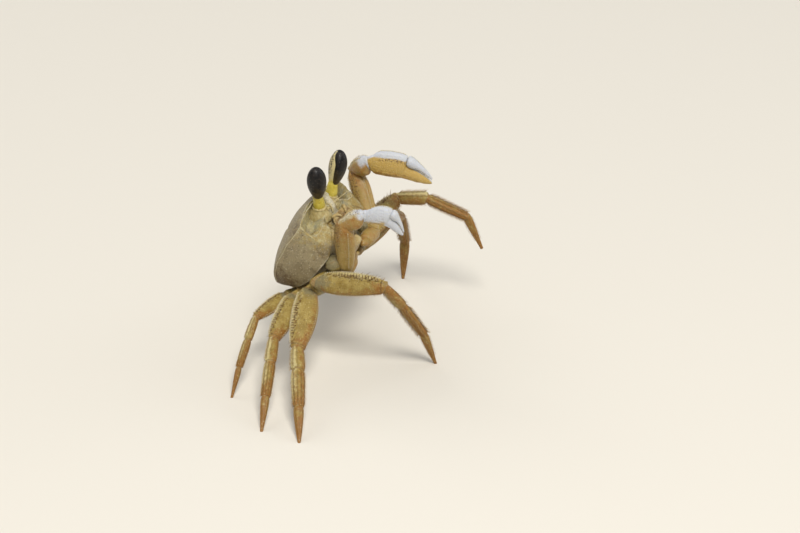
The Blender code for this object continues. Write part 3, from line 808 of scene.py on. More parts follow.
feeler_finish = chitin(
    "feelers", (190, 174, 122), ((208, 196, 156), 1.0), [],
    [((110, 80, 44), 0.26, 0.35, 0.6)], (0.18, 0.03), (0.38, 0.55), 0.15)
for side in SIDES:
    fit(make_feeler(side), feeler_finish, "stalk")
    fit(make_small_feeler(side), feeler_finish, "stalk")

# ---------------------------------------------------------------- the walking legs
# Eight legs of five jointed tubes each: a short hip, a broad flat upper leg, a knee piece, a
# shin and a fluted toe.  Each tube is a hard sleeve, and soft skin closes the joint between.
LEGS = ("leg2", "leg3", "leg4", "leg5")
LEG_PARTS = ("hip", "merus", "carpus", "propodus", "dactylus")
NEAR_JOINT = 0.8 * MM
JOINT_GAP = 0.45 * MM
JOINT_FILL = 1.15
ROOT_CUSHION = 2.6 * MM
OUTSIDE = 8 * MM
RUNG_GAP = 0.82 * MM


def joint_of(first, second):
    """The place between the facing ends of two neighbouring solids, and their rim points."""
    a = corners(first)
    b = corners(second)
    gaps = np.linalg.norm(a[:, None] - b[None], axis=2)
    reach = gaps.min() + NEAR_JOINT
    rim = np.concatenate((a[gaps.min(axis=1) < reach], b[gaps.min(axis=0) < reach]))
    return rim.mean(axis=0), rim


def limb_joints(nodes):
    """Joint places down a limb, from its root to its tip."""
    joints = [joint_of(a, b)[0] for a, b in zip(nodes, nodes[1:])]
    root = 2 * corners(nodes[0]).mean(axis=0) - joints[0]
    last = corners(nodes[-1])
    far = np.linalg.norm(last - joints[-1], axis=1)
    tip = last[far > far.max() - 0.6 * MM].mean(axis=0)
    return [root] + joints + [tip]


def strike(tree, start, way, reach=1.0):
    """Where a straight line first meets a surface and the outward way there, or None."""
    place, normal, _, _ = tree.ray_cast(Vector(start), Vector(way), reach)
    if place is None:
        return None
    return np.array(place), np.array(normal)


class Span:
    """One limb segment's own axes: along it, up to its rim, and across."""

    def __init__(self, start, end, toward):
        self.start = start
        self.reach = np.linalg.norm(end - start)
        self.along = unit(end - start)
        self.up = unit(toward - self.along * np.dot(toward, self.along))
        self.across = np.cross(self.along, self.up)
        self.inner = -math.copysign(1, self.across[0] * (start[0] - CENTRE[0]))
        self.surface = None

    def local(self, points):
        """Share of the length, height toward the rim and distance across, for each point."""
        off = points - self.start
        return off @ self.along / self.reach, off @ self.up, off @ self.across

    def way(self, turn):
        return self.up * math.cos(turn) + self.across * math.sin(turn)

    def on_skin(self, share, turn):
        """Place and outward way on the segment's surface at a share and a turn from the rim."""
        middle = self.start + self.along * (self.reach * share)
        return strike(self.surface, middle + self.way(turn) * OUTSIDE, -self.way(turn), OUTSIDE)


def scales(span, points, long, wide, seed):
    """Low overlapping scale-like grains, drawn out across the limb."""
    t, y, x = span.local(points)
    around = np.arctan2(x, y) * np.hypot(x, y)
    laid = np.stack((t * span.reach / long, around / wide, np.zeros(len(t))), axis=1)
    return grains(laid, 1.0, seed)


# Each dress gives the millimetres raised on one kind of segment and the marks that colour it,
# from the share t along it, the height y toward its upper rim and x across, from -1 to 1.
def dress_hip(span, points, t, y, x):
    lift = 0.05 * grains(points, 0.55, 2.0) + 0.10 * hump(t - 0.88, 0.05)
    return lift, dict(grey=0.75 * ramp(1.0, 0.5, t), orange=0.3 * hump(t - 1, 0.15))


def dress_merus(span, points, t, y, x):
    lift = 0.055 * scales(span, points, 0.34, 0.75, 1.0)
    lift += 0.05 * ramp(0.45, 0.9, np.abs(y)) * grains(points, 0.4, 4.0)
    lift += 0.07 * hump(t - 0.970, 0.014) - 0.05 * hump(t - 0.935, 0.014)
    lift -= 0.06 * hump(y - 0.42, 0.10)
    rungs = np.cos(2 * math.pi * (t * span.reach + 0.9 * MM * y) / RUNG_GAP)
    beside = hump(y - 0.82, 0.17) * ramp(0.12, 0.35, t) * ramp(0.97, 0.90, t)
    lift += 0.10 * np.maximum(rungs, -0.3) * beside
    # the upper half is lightened as a painted highlight; the pale band at the upper rim is the
    # leg's own colour
    pale = 0.45 * ramp(0.30, 0.75, y) + 0.45 * ramp(0.80, 0.98, y)
    rim = 0.55 * hump(t - 0.962, 0.014)
    # the orange on the lower side is painted shade; the orange at the far end is the leg's own
    # colour
    return lift, dict(rungs=np.maximum(beside * ramp(0.1, -0.5, rungs), rim),
                  grey=0.75 * ramp(0.22, 0.02, t) + 0.2 * hump(y, 0.3) * ramp(0.5, 0.15, t),
                  orange=0.62 * ramp(0.58, 0.98, t) * ramp(0.9, 0.1, y) + 0.46 * ramp(0.1, -0.8, y),
                  white_and_highlight=pale * ramp(1.02, 0.85, t))


def dress_carpus(span, points, t, y, x):
    lift = 0.05 * scales(span, points, 0.36, 0.6, 3.0)
    lift += 0.04 * (hump(t - 0.95, 0.025) + hump(t - 0.06, 0.025))
    lift += 0.07 * (hump(np.abs(x) - 0.75, 0.2) * ramp(-0.2, 0.4, y))
    # the orange on the lower side is painted shade, and the white on the upper side is a painted
    # highlight
    return lift, dict(orange=0.3 + 0.25 * ramp(0.35, 0.0, t) + 0.3 * ramp(0.2, -0.8, y),
                  white_and_highlight=ramp(0.0, 0.8, y) * 0.75)


def dress_propodus(span, points, t, y, x):
    lift = 0.05 * scales(span, points, 0.34, 0.6, 5.0)
    lift += 0.09 * np.maximum(0, np.cos(4 * np.arctan2(x, y))) ** 2 * ramp(0.02, 0.15, t)
    lift += 0.04 * hump(t - 0.965, 0.02)
    # the orange on the lower side is painted shade, and the white on the upper side is a painted
    # highlight
    return lift, dict(orange=0.42 + 0.35 * ramp(0.45, 1.0, t) + 0.3 * ramp(0.2, -0.8, y),
                  white_and_highlight=ramp(0.0, 0.8, y) * 0.7 * ramp(1.0, 0.5, t))


def dress_dactylus(span, points, t, y, x):
    flutes = np.maximum(0, np.cos(6 * np.arctan2(x, y))) ** 1.5 - 0.4
    lift = 0.11 * flutes * ramp(0.0, 0.12, t) * ramp(1.0, 0.8, t)
    return lift, dict(orange=0.62 + 0.38 * ramp(0.2, 0.8, t))


DRESSES = {"hip": dress_hip, "merus": dress_merus, "carpus": dress_carpus,
           "propodus": dress_propodus, "dactylus": dress_dactylus}
# how much narrower each segment is at its near and its far joint, and over how many millimetres
NECKS = {"merus": (0.08, 0.03, 1.3), "carpus": (0.10, 0.03, 1.3), "propodus": (0.08, 0.03, 1.3),
         "dactylus": (0.09, 0.0, 1.3), "claw_arm": (0.10, 0.04, 1.5),
         "claw_wrist": (0.16, 0.22, 2.2), "claw_hand": (0.22, 0.0, 2.6)}
ROUND_ENDS = {"hip": 0.0, "claw_hip": 0.0, "claw_wrist": 0.12, "carpus": 0.22, "propodus": 0.22}
FINE_PARTS = ("merus", "claw_hand", "claw_finger")


def shape_segment(part, node, span):
    """Round one limb solid, shape its joint ends and raise its grains, ridges and rims on it."""
    levels = 4 if part in FINE_PARTS else 3
    mesh = rounded(node + "_skin", node, levels, ROUND_ENDS.get(part, EDGE_HOLD))
    points = places(mesh)
    t, y, x = span.local(points)
    if part in NECKS:
        neck, taper, length = NECKS[part]
        ends = length * MM / span.reach
        narrow = neck * ramp(ends, 0, t) + taper * ramp(1 - ends, 1, t)
        points -= (narrow * y)[:, None] * span.up + (narrow * x)[:, None] * span.across
        reshape(mesh, points)
        t, y, x = span.local(points)
    lift, marks = DRESSES[part](span, points, t, y / np.abs(y).max(), x / np.abs(x).max())
    points += outward(mesh) * (lift * MM)[:, None]
    points[:, 2] = np.maximum(points[:, 2], 0)
    reshape(mesh, points)
    mark(mesh, **marks)
    return mesh


def skin_tree(mesh):
    faces = [face.vertices[:] for face in mesh.polygons]
    return BVHTree.FromPolygons([v.co for v in mesh.vertices], faces)


def finer(mesh, rounds):
    """Split a rounded mesh's faces in four, keeping it round."""
    bm = bmesh.new()
    bm.from_mesh(mesh)
    bmesh.ops.recalc_face_normals(bm, faces=bm.faces)
    for _ in range(rounds):
        bmesh.ops.subdivide_edges(bm, edges=bm.edges, cuts=1, use_grid_fill=True, smooth=1.0)
    bm.to_mesh(mesh)
    bm.free()
    return mesh


def joint_skins(name, nodes, share):
    """Soft skin at a limb's root and between its segments: low cushions that fill each joint."""
    root = corners(nodes[0])
    away = np.linalg.norm(root - joint_of(*nodes[:2])[0], axis=1)
    root = root[away > away.max() - 0.5 * MM]
    rims = [(root.mean(axis=0), root)] + [joint_of(a, b) for a, b in zip(nodes, nodes[1:])]
    forms = []
    for middle, rim in rims:
        off = rim - middle
        ways = np.linalg.svd(off, full_matrices=False)[2]
        reach = np.abs(off @ ways.T).max(axis=0)
        thick = max(reach[2], JOINT_GAP) * JOINT_FILL if forms else ROOT_CUSHION
        forms.append(middle + (BEAD_POINTS * (reach[0] * share, reach[1] * share, thick)) @ ways)
    return finer(bead_mesh(name, forms), 1)


def rim_teeth(span, turn, low, high, gap, size, lean=0.5):
    """A saw-edge of small blunt teeth along one rim of a limb, leaning toward the toe."""
    size *= MM
    rows = []
    for share in np.arange(low, high, gap * MM / span.reach):
        found = span.on_skin(share, turn)
        if found:
            rows.append((found[0], unit(span.way(turn) + span.along * lean), span.along,
                         (size * 0.85, size * 0.6, size * 1.25)))
    return rows


# the orange layer is the legs' own orange and, on the lower sides of the tubes, painted shade; the
# white layer is their pale rims and, on the upper sides, a painted highlight
leg_finish = chitin(
    "leg plates", (150, 126, 58), ((176, 154, 84), 1.8),
    [("grey", (138, 128, 92), 1.6, 0.8), ("orange", (150, 104, 38), 1.6, 0.8),
     ("white_and_highlight", (206, 192, 136), 1.0, 0.7), ("rungs", (102, 78, 38), 0.4, 0.5)],
    [((88, 62, 26), 0.32, 0.40, 0.74), ((222, 210, 154), 0.28, 0.36, 0.70)],
    (0.26, 0.08), (0.4, 0.58), 0.12)
tooth_finish = chitin(
    "rim teeth", (196, 182, 140), ((218, 208, 176), 0.8), [],
    [((150, 112, 60), 0.4, 0.25, 0.6)], (0.2, 0.03), (0.38, 0.5), 0.15)
joint_finish = chitin(
    "joint skin", (166, 144, 96), ((150, 120, 72), 0.7), [], [],
    (0.18, 0.05), (0.42, 0.55), 0.15)

UP_RIM = 0.0
LOW_RIM = math.pi
# rows of rim teeth: turn from the upper rim, first and last share, gap, size and lean
RIM_TEETH = {
    "merus": ((UP_RIM, 0.07, 0.95, 0.55, 0.24), (LOW_RIM - 0.3, 0.15, 0.93, 0.75, 0.16),
              (LOW_RIM + 0.3, 0.15, 0.93, 0.75, 0.16)),
    "carpus": ((UP_RIM, 0.1, 0.93, 0.55, 0.17),),
    "propodus": ((UP_RIM, 0.06, 0.93, 0.65, 0.13),),
}
limb_spans = {}


def skin_segment(part, node, span, finish, slot):
    """Set one limb solid's skin, keep its axes for the bristles and give its rim teeth."""
    mesh = shape_segment(part, node, span)
    fit(mesh, finish, slot, node)
    span.surface = skin_tree(mesh)
    limb_spans[node] = span
    return [tooth for row in RIM_TEETH.get(part, ()) for tooth in rim_teeth(span, *row)]


def make_leg(leg, side):
    tail = "_%s_%s" % (leg, side)
    nodes = [part + tail for part in LEG_PARTS]
    joints = limb_joints(nodes)
    teeth = []
    for part, node, start, end in zip(LEG_PARTS, nodes, joints, joints[1:]):
        teeth += skin_segment(part, node, Span(start, end, BACK), leg_finish, "leg")
    fit(beads("rim_teeth" + tail, teeth), tooth_finish, "leg")
    fit(joint_skins("joints" + tail, nodes, 0.90), joint_finish, "leg")


for side in SIDES:
    for leg in LEGS:
        make_leg(leg, side)

# ---------------------------------------------------------------- the claws
# Two unequal claws of thick chitin on short arms, the left one larger.  The palm is a deep flat
# box with a fixed lower finger and a hinged upper one, toothed where they meet, pearl above.
CLAW_PARTS = ("claw_hip", "claw_arm", "claw_wrist", "claw_hand", "claw_finger")
TOP = np.array((0.0, 0.0, 1.0))


def dress_arm(span, points, t, y, x):
    lift = 0.07 * scales(span, points, 0.40, 0.8, 2.0)
    lift += 0.10 * hump(t - 0.96, 0.02)
    return lift, dict(orange=0.22 + 0.32 * ramp(0.4, 1.0, t), gold=0.3,
                  white_and_highlight=ramp(0.78, 0.97, y) * 0.7,
                  specks=0.34 * ramp(0.0, 0.6, y) * ramp(0.35, 0.7, t))


def dress_knob(span, points, t, y, x):
    lift, marks = dress_arm(span, points, t, y, x)
    marks["orange"] = 0.42
    return lift, marks


def dress_wrist(span, points, t, y, x):
    lift = 0.09 * grains(points, 0.55, 7.0) * ramp(-0.6, 0.2, y)
    lift += 0.12 * hump(t - 0.93, 0.04)
    top = ramp(0.40, 0.92, y)
    cuff = 0.85 * ramp(0.60, 0.90, t) * ramp(-0.40, 0.25, y)
    return lift, dict(orange=0.50 * (1 - top), gold=0.15 * (1 - top),
                  grey=0.45 * top * ramp(0.7, 0.2, t), white_and_highlight=0.75 * top,
                  pearl=np.maximum(0.6 * top * ramp(0.25, 0.85, t), cuff), specks=0.15 * top)


CROWN = 0.4


def off_arch(t, y):
    """Heights counted from the arched hand's own middle, 1 at the palm's upper edge."""
    band = y[np.abs(t - CROWN) < 0.06]
    rise = (band.max() + band.min()) / 2
    level = y - rise * np.sin(math.pi * np.clip(t, 0, 1)) / math.sin(math.pi * CROWN)
    return level / np.abs(level).max()


def dress_hand(span, points, t, y, x):
    y = off_arch(t, y)
    palm = ramp(0.56, 0.46, t)
    lift = 0.10 * grains(points, 0.55, 9.0) * palm
    lift += 0.10 * hump(y - 0.86, 0.10) * palm
    lift += 0.14 * hump(y + 0.45 + 0.2 * t, 0.06) * palm * ramp(0.1, 0.3, t)
    lift -= 0.12 * hump(y + 0.48, 0.05) * (1 - palm) * ramp(0.98, 0.85, t)
    lift += 0.10 * hump(t - 0.08, 0.03)
    low = ramp(0.05, -0.75, y + 0.25 * (0.5 - t))
    within = ramp(0.15, 0.55, x * span.inner / (1.0 - 0.72 * ramp(0.4, 1.0, t)))
    inside = within * np.maximum(ramp(0.80, 0.50, y), ramp(0.55, 0.62, t))
    plain = np.maximum(0.8 * low * palm, inside)
    return lift, dict(orange=0.30 * inside * low + 0.25 * low * palm, gold=0.95 * plain,
                  pearl=1 - plain,
                  specks=0.5 * within * hump(y - 0.52, 0.10) * ramp(0.1, 0.25, t) * palm)


def dress_finger(span, points, t, y, x):
    lift = 0.07 * grains(points, 0.50, 9.5) * ramp(0.95, 0.6, t)
    lift += 0.55 * ramp(0.78, 0.58, t) * ramp(-0.6, 0.3, y)
    lift -= 0.10 * hump(x - 0.55, 0.2) * ramp(0.6, 0.7, t)
    tip = 0.2 * ramp(0.7, 0.9, t)
    return lift, dict(white_and_highlight=tip, pearl=1 - tip)


DRESSES.update({"claw_hip": dress_knob, "claw_arm": dress_arm, "claw_wrist": dress_wrist,
                "claw_hand": dress_hand, "claw_finger": dress_finger})
RIM_TEETH.update({
    "claw_hand": ((UP_RIM, 0.10, 0.50, 0.5, 0.20, 0.2), (LOW_RIM, 0.10, 0.80, 0.55, 0.17, 0.2)),
    "claw_finger": ((UP_RIM, 0.60, 0.85, 0.5, 0.14, 0.2),),
    "claw_wrist": tuple((turn, 0.1, 0.9, 0.55, 0.22, 0.2) for turn in (-0.6, 0.6)),
    "claw_arm": ((UP_RIM, 0.08, 0.95, 0.6, 0.20), (2.4, 0.15, 0.95, 0.6, 0.20),
                 (-2.4, 0.15, 0.95, 0.6, 0.20)),
})
# the biting edge of each finger: turn from the upper rim and size of the teeth
BITES = {"claw_hand": (UP_RIM, 0.22 * MM), "claw_finger": (LOW_RIM, 0.18 * MM)}
BITE_START = 0.61
BITE_END = 0.95
BITE_GAP = 0.62 * MM

claw_finish = chitin(
    "claw plates", (162, 136, 72), ((184, 160, 100), 1.8),
    [("gold", (200, 168, 92), 2.0, 0.3), ("grey", (146, 136, 108), 1.0, 0.9),
     ("orange", (158, 110, 42), 1.8, 0.7), ("white_and_highlight", (214, 204, 168), 0.8, 0.8),
     ("pearl", (204, 209, 217), 1.4, 0.35), ("specks", (84, 58, 34), 0.40, 1.9)],
    [((120, 88, 46), 0.30, 0.24, 0.55), ((226, 220, 200), 0.22, 0.3, 0.6)],
    (0.28, 0.06), (0.34, 0.5), 0.15)


def bite_teeth(span, turn, size):
    """Blunt cutting teeth on the biting edge of a finger, large and small by turns."""
    rows = []
    for i, share in enumerate(np.arange(BITE_START, BITE_END, BITE_GAP / span.reach)):
        found = span.on_skin(share, turn)
        if found:
            big = size * (1.45 if i % 3 == 1 else 0.8) * (1.15 - 0.7 * (share - BITE_START))
            rows.append((found[0], found[1], span.along, (big, big * 0.8, big * 1.25)))
    return rows


HINGE_DEEP = 1.15 * MM
KNUCKLE = 3.2 * MM
KNUCKLE_CORE = 2.4 * MM
KNOB_SIZES = np.array((2.3, 2.5, 2.2)) * MM
KNOB_OFF = np.array((0.7, 3.1, 1.2)) * MM
KNOB_CROWN = np.array((0.0, 0.55, 0.83))
KNOB_CREASE = 0.45


def finger_hinge(side, node):
    """The soft fold of skin between the palm's end and the root of the free finger."""
    span = limb_spans[node]
    solid = corners(node)
    share = span.local(solid)[0]
    root = solid[share < share.min() + 0.02]
    middle = root.mean(axis=0)
    ways = np.array((span.along, span.across, span.up))
    sizes = np.abs((root - middle) @ ways.T).max(axis=0)
    sizes = (HINGE_DEEP, sizes[1] * 0.97, sizes[2] * 1.15)
    mesh = bead_mesh("finger_hinge_" + side, [middle + (BEAD_POINTS * sizes) @ ways])
    mark(mesh, pearl=1)
    return mesh


def coxa_lobe(side, shoulder):
    """The rounded grey knob behind the foot of the arm, with one crease over its crown."""
    middle = shoulder + KNOB_OFF * (SIDES[side], 1, 1)
    mesh = finer(bead_mesh("claw_root_" + side, [middle + BEAD_POINTS * KNOB_SIZES]), 2)
    points = places(mesh)
    height = (points - middle) @ unit(KNOB_CROWN) / KNOB_SIZES[2]
    lift = 0.18 * drift(points, 1.6, 3.0) + 0.05 * grains(points, 0.5, 2.0)
    lift -= 0.30 * hump(height - KNOB_CREASE, 0.07)
    raise_skin(mesh, lift * MM)
    mark(mesh, grey=0.9 * ramp(-0.9, -0.2, height),
         orange=0.2 * hump(height - KNOB_CREASE, 0.10))
    return mesh


def make_claw(side):
    nodes = [part + "_" + side for part in CLAW_PARTS]
    joints = limb_joints(nodes[:4])
    teeth = []
    for i, (part, node) in enumerate(zip(CLAW_PARTS, nodes)):
        near = min(i, 3)  # the free finger is laid out along the palm's own axes
        span = Span(joints[near], joints[near + 1], BACK if i < 2 else TOP)
        rims = skin_segment(part, node, span, claw_finish, "leg" if part == "claw_hip" else "claw")
        if part in BITES:
            teeth += bite_teeth(span, *BITES[part])
        teeth += rims
    fit(beads("claw_teeth_" + side, teeth), tooth_finish, "claw")
    fit(finger_hinge(side, nodes[4]), claw_finish, "claw")
    fit(coxa_lobe(side, joints[1]), leg_finish, "leg")
    skins = joint_skins("claw_joints_" + side, nodes[:4], 0.82)
    off = np.linalg.norm(places(skins) - joints[3], axis=1)
    mark(skins, pearl=ramp(KNUCKLE, KNUCKLE_CORE, off), orange=0.5)
    fit(skins, claw_finish, "claw")


for side in SIDES:
    make_claw(side)

# ---------------------------------------------------------------- the bristles
# Short stiff bristles stand in rows along the rims of the legs, round the mouth and at the
# claws' shoulders.  Each is a thin tapering hair of horn, set in the plate beside its rim.
dice = random.Random(41)
HAIR_LEVELS = (0.0, 0.3, 0.6, 0.85)
HAIR_SIDES = 3
UV_PATCH = 0.003
CHART_COLUMNS = 5
STOUT = 0.08 * MM
STOUT_FADE = 0.3
ROW_WIDTH = 0.12
BRUSH_HAIRS = 260


def bristles(name, hairs):
    """One mesh of many bristles; a hair is (root, way, bend, length, thickness, unwrapped root)."""
    roots, ways, bends, lengths, thick, spots = (np.array(column) for column in zip(*hairs))
    ways /= np.linalg.norm(ways, axis=1)[:, None]
    lengths = lengths[:, None]
    thick = thick[:, None]
    aside = np.cross(ways, (0.31, 0.52, 0.79))
    aside /= np.linalg.norm(aside, axis=1)[:, None]
    other = np.cross(ways, aside)
    points = []
    flat = []
    for level in HAIR_LEVELS:
        middle = roots + ways * lengths * (level - 0.05) + bends * lengths * level ** 2
        for i in range(HAIR_SIDES):
            turn = 2 * math.pi * i / HAIR_SIDES
            round_way = aside * math.cos(turn) + other * math.sin(turn)
            points.append(middle + thick * (1 - level) ** 0.7 * round_way)
            flat.append(spots + UV_PATCH * np.array((level - 0.5, i / HAIR_SIDES - 0.33)))
    points.append(roots + ways * lengths * 0.95 + bends * lengths)
    flat.append(spots + UV_PATCH * np.array((0.5, 0.0)))
    points = np.stack(points, axis=1)
    flat = np.stack(flat, axis=1)
    one = [(2, 1, 0)]
    for a, b, c, d in walls(len(HAIR_LEVELS), HAIR_SIDES):
        one += [(a, b, c), (a, c, d)]
    tip = HAIR_SIDES * len(HAIR_LEVELS)
    one += [(tip - 3, tip - 2, tip), (tip - 2, tip - 1, tip), (tip - 1, tip - 3, tip)]
    faces = (np.array(one) + np.arange(len(hairs))[:, None, None] * points.shape[1]).reshape(-1, 3)
    mesh = new_mesh(name, points.reshape(-1, 3), faces)
    chart = mesh.uv_layers.new(name="OFBake")
    chart.data.foreach_set("uv", flat.reshape(-1, 2)[faces.ravel()].ravel())
    fade = np.append(np.repeat(HAIR_LEVELS, HAIR_SIDES), 1.0)
    mark(mesh, tip=(np.where(thick > STOUT, STOUT_FADE, 1.0) * fade).ravel())
    return mesh


def rim_hairs(node, cell, fur, turn, low, high, gap, length, lean, thick):
    """A row of bristles along one rim; cell is the row's column in the unwrapped chart."""
    span = limb_spans[node]
    hairs = []
    step = gap * MM / span.reach
    for share in np.arange(low, high, step):
        share += dice.uniform(-0.3, 0.3) * step
        angle = turn + dice.uniform(-ROW_WIDTH, ROW_WIDTH)
        found = span.on_skin(share, angle)
        if found is None:
            continue
        way = unit(0.7 * span.way(angle) + 0.3 * found[1])
        way = way + span.along * (lean + dice.uniform(-0.15, 0.15))
        way = way + span.across * dice.uniform(-0.12, 0.12)
        column = (cell + 0.1 + 0.8 * ((angle / (2 * math.pi)) % 1)) / CHART_COLUMNS
        long = length * fur * MM * dice.uniform(0.7, 1.15)
        hairs.append((found[0], way, span.along * 0.25, long, thick * MM,
                      (column, 0.02 + 0.96 * min(1, max(0, share)))))
    return hairs


# rows on each limb part: turns from the upper rim, first and last share, then in millimetres the
# gap and length, the lean toward the toe and the thickness
LEG_ROWS = {
    "merus": (((0.42, -0.42), 0.16, 0.96, 0.70, 1.5, 0.6, 0.13),
              ((0.36, -0.36), 0.06, 0.96, 0.30, 0.9, 0.5, 0.05),
              ((2.85, -2.85), 0.25, 0.95, 0.40, 0.7, 0.7, 0.05)),
    "carpus": (((0.4, -0.4), 0.05, 0.95, 0.16, 1.1, 0.7, 0.05),
               ((1.1, -1.1), 0.05, 0.95, 0.24, 0.9, 0.9, 0.05),
               ((2.6, -2.6), 0.2, 0.95, 0.26, 0.8, 0.8, 0.05)),
    "propodus": (((0.5, -0.5), 0.03, 0.97, 0.13, 1.15, 0.8, 0.05),
                 ((1.2, -1.2), 0.05, 0.97, 0.18, 0.95, 1.0, 0.05),
                 ((2.0, -2.0), 0.05, 0.97, 0.22, 0.85, 1.0, 0.05),
                 ((2.7, -2.7), 0.05, 0.97, 0.15, 1.1, 0.9, 0.05)),
    "dactylus": (((0.5, -0.5), 0.04, 0.72, 0.26, 0.6, 1.1, 0.05),
                 ((1.57, -1.57), 0.04, 0.72, 0.3, 0.55, 1.1, 0.05),
                 ((2.6, -2.6), 0.04, 0.72, 0.26, 0.6, 1.1, 0.05)),
}
ARM_TURNS = (-2.6, -2.2, -0.9, -0.3, 0.3, 0.9, 2.2, 2.6)
CLAW_ROWS = {
    "claw_arm": ((ARM_TURNS, 0.12, 0.97, 0.34, 0.7, 0.6, 0.042),),
    "claw_wrist": (((-1.0, -0.5, 0.0, 0.5, 1.0), 0.1, 0.9, 0.5, 0.5, 0.5, 0.042),),
}
LEG_FUR = {"leg2": 1.2, "leg3": 0.8, "leg4": 0.65, "leg5": 0.6}


def limb_hairs(rows, tail, fur=1.0):
    hairs = []
    for cell, (part, lines) in enumerate(rows.items()):
        for turns, *row in lines:
            for turn in turns:
                hairs += rim_hairs(part + tail, cell, fur, turn, *row)
    return hairs


def make_bristle_finish():
    """Horn-brown bristles, darkest at the root and amber toward the tip."""
    made, tree, shader = new_finish("bristles")
    tip = put(tree, "ShaderNodeAttribute", attribute_name="tip").outputs["Fac"]
    where = put(tree, "ShaderNodeTexCoord").outputs["Object"]
    cloud = put(tree, "ShaderNodeTexNoise", {"Vector": where, "Scale": 700.0, "Detail": 2.0})
    root = mix(tree, cloud.outputs["Fac"], paint(70, 46, 26), paint(140, 98, 48))
    tree.links.new(mix(tree, tip, root, paint(196, 162, 98)), shader["Base Color"])
    shader["Roughness"].default_value = 0.5
    return made


bristle_finish = make_bristle_finish()


AHEAD = 0.75


def from_front(tree, s, b):
    """The surface met from straight ahead, at a distance sideways and back from the middle."""
    return strike(tree, body_place(AHEAD, s, b), -FORWARD)


def face_hairs(tree, rows):
    """Bristles on the front of the body; a row is two ends (sideways, back), count, length, way."""
    hairs = []
    for (s0, b0), (s1, b1), count, length, (up, out) in rows:
        for mirror in SIDES.values():
            for i in range(count):
                t = (i + dice.uniform(-0.4, 0.4)) / (count - 1)
                s = (s0 + (s1 - s0) * t + dice.uniform(-0.004, 0.004)) * mirror
                b = b0 + (b1 - b0) * t + dice.uniform(-0.004, 0.004)
                found = from_front(tree, s, b)
                if found is None:
                    continue
                way = found[1] * 0.5 + FORWARD * 0.5 + BACK * up + SIDE * out * mirror
                way = unit(way + SIDE * dice.uniform(-0.2, 0.2) + BACK * dice.uniform(-0.2, 0.2))
                hairs.append((found[0], way, -BACK * 0.3, length * MM * dice.uniform(0.7, 1.15),
                              0.035 * MM, (s + 0.5, b + 0.6)))
    return hairs


# rows beside the mouth, under the eye hollows and down the cheeks to the claws' shoulders
FACE_ROWS = (
    ((0.175, -0.175), (0.165, -0.300), 34, 0.9, (0.1, -0.5)),
    ((0.190, -0.170), (0.185, -0.300), 30, 0.8, (0.1, -0.4)),
    ((0.020, -0.150), (0.160, -0.150), 26, 0.7, (-0.5, 0.0)),
    ((0.230, -0.200), (0.330, -0.270), 26, 0.8, (-0.4, 0.2)),
    ((0.215, -0.225), (0.320, -0.292), 26, 0.8, (-0.4, 0.2)),
    ((0.120, -0.112), (0.400, -0.105), 40, 0.5, (-0.3, 0.0)),
)
face_fringe = bristles("bristles_face", face_hairs(skin_tree(shell.data), FACE_ROWS))
fit(face_fringe, bristle_finish, "shell")
# rows on the mouth plates: distance from the middle line and way
JAW_ROWS = ((0.014, -0.5), (0.024, -0.3), (0.130, 0.5))
JAW_HAIRS = 34
JAW_LOW = -0.335
JAW_TALL = 0.165


def jaw_hairs(side):
    """A fringe along the inner and upper edges of one mouth plate."""
    tree = skin_tree(bpy.data.objects["jaw_" + side].data)
    hairs = []
    s = SIDES[side]
    for row, (aside, way) in enumerate(JAW_ROWS):
        for i in range(JAW_HAIRS):
            b = JAW_LOW + JAW_TALL * (i + dice.uniform(-0.3, 0.3)) / (JAW_HAIRS - 1)
            found = from_front(tree, s * aside, b)
            if found is None:
                continue
            out = unit(found[1] * 0.6 + SIDE * s * way + BACK * 0.4)
            hairs.append((found[0], out, BACK * 0.3, 0.75 * MM * dice.uniform(0.7, 1.1), 0.032 * MM,
                          (0.1 + 0.25 * row + 0.05 * (s > 0), b + 0.6)))
    return hairs


for side in SIDES:
    fit(bristles("bristles_jaw_" + side, jaw_hairs(side)), bristle_finish, "mouth")


def hip_hairs(side):
    """Dense brushes between the third and fourth legs' hips, over the gill openings."""
    hairs = []
    for row, (node, ahead) in enumerate((("hip_leg3_", -FORWARD), ("hip_leg4_", FORWARD))):
        span = limb_spans[node + side]
        turn0 = math.atan2(np.dot(ahead, span.across), np.dot(ahead, span.up))
        for _ in range(BRUSH_HAIRS):
            share = dice.uniform(0.05, 0.9)
            turn = turn0 + dice.uniform(-0.7, 0.7)
            found = span.on_skin(share, turn)
            if found is None:
                continue
            way = unit(found[1] + 0.4 * BACK + SIDE * SIDES[side] * dice.uniform(-0.3, 0.3))
            hairs.append((found[0], way, BACK * 0.2, 0.9 * MM * dice.uniform(0.6, 1.1), 0.03 * MM,
                          (0.25 + 0.5 * row + 0.2 * math.sin(turn), 0.05 + 0.9 * share)))
    return hairs


for side in SIDES:
    hairs = limb_hairs(CLAW_ROWS, "_" + side)
    fit(bristles("bristles_claw_" + side, hairs), bristle_finish, "claw")
    fit(bristles("bristles_hip_" + side, hip_hairs(side)), bristle_finish, "leg")
for side in SIDES:
    for leg in LEGS:
        tail = "_%s_%s" % (leg, side)
        hairs = limb_hairs(LEG_ROWS, tail, LEG_FUR[leg])
        fit(bristles("bristles" + tail, hairs), bristle_finish, "leg")

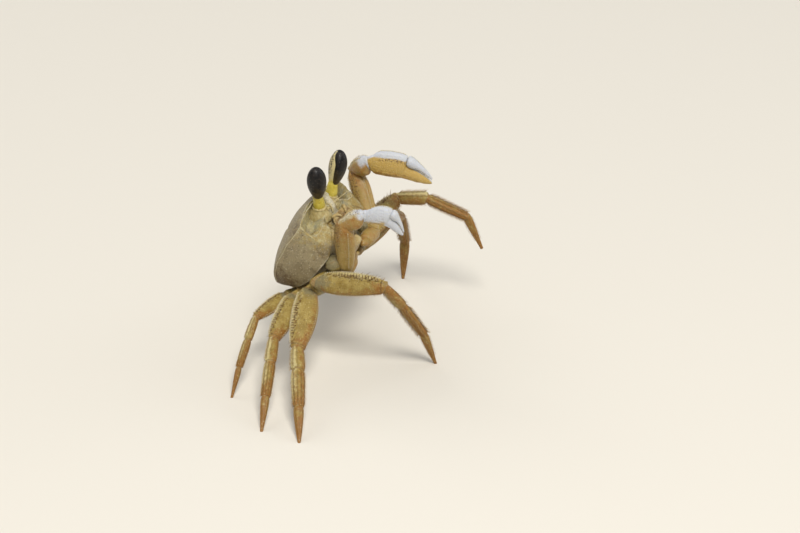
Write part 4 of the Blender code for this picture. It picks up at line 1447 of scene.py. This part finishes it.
# ---------------------------------------------------------------- the stand and the light
# A plain pale floor under the toes and large soft lamps round it, as over a museum's table,
# with the viewer in front of the crab's right side and a little above it.
VIEW_TURN = math.radians(-68.5)
VIEW_RISE = math.radians(27)
VIEW_LENS = 300
VIEW_WIDTH = 216.9 * MM
VIEW_ASIDE = 25.22 * MM
VIEW_DOWN = 9.22 * MM
SENSOR = 36
LAMPS = (("key", (-0.55, -0.35, 1.1), 0.40, 13.5, (1.0, 0.97, 0.92)),
         ("fill", (0.7, -0.8, 0.6), 0.9, 3, (0.93, 0.96, 1.0)),
         ("rim", (0.4, 0.9, 0.8), 0.8, 4, (1.0, 0.98, 0.95)))
SKY = (0.92, 0.93, 0.95, 1)


def make_floor():
    bpy.ops.mesh.primitive_plane_add(size=6)
    floor = bpy.context.object
    floor.name = "floor"
    made, _, shader = new_finish("floor")
    shader["Base Color"].default_value = paint(216, 211, 200)
    shader["Roughness"].default_value = 0.85
    floor.data.materials.append(made)


def aim(name, data, place, way, front):
    made = add(name, data)
    made.location = place
    made.rotation_mode = "QUATERNION"
    made.rotation_quaternion = way.to_track_quat(front, "Y")
    return made


def make_lamp(name, place, size, power, tint):
    lamp = bpy.data.lights.new(name, "AREA")
    lamp.size = size
    lamp.energy = power
    lamp.color = tint
    aim(name, lamp, place, -Vector(place), "-Z")


def make_view():
    back = Vector((math.sin(VIEW_TURN) * math.cos(VIEW_RISE),
                   -math.cos(VIEW_TURN) * math.cos(VIEW_RISE), math.sin(VIEW_RISE)))
    right = Vector((0, 0, 1)).cross(back).normalized()
    up = back.cross(right)
    target = Vector(CENTRE) + right * VIEW_ASIDE - up * VIEW_DOWN
    camera = bpy.data.cameras.new("camera")
    camera.lens = VIEW_LENS
    camera.sensor_width = SENSOR
    camera.clip_start = 0.05
    camera.clip_end = 30
    place = target + back * (VIEW_WIDTH * VIEW_LENS / SENSOR)
    bpy.context.scene.camera = aim("camera", camera, place, back, "Z")


make_floor()
for lamp in LAMPS:
    make_lamp(*lamp)
make_view()
world = bpy.data.worlds.new("studio")
world.use_nodes = True
sky = world.node_tree.nodes["Background"].inputs
sky["Color"].default_value = SKY
sky["Strength"].default_value = 0.42
bpy.context.scene.world = world
bpy.context.scene.view_settings.view_transform = "Standard"
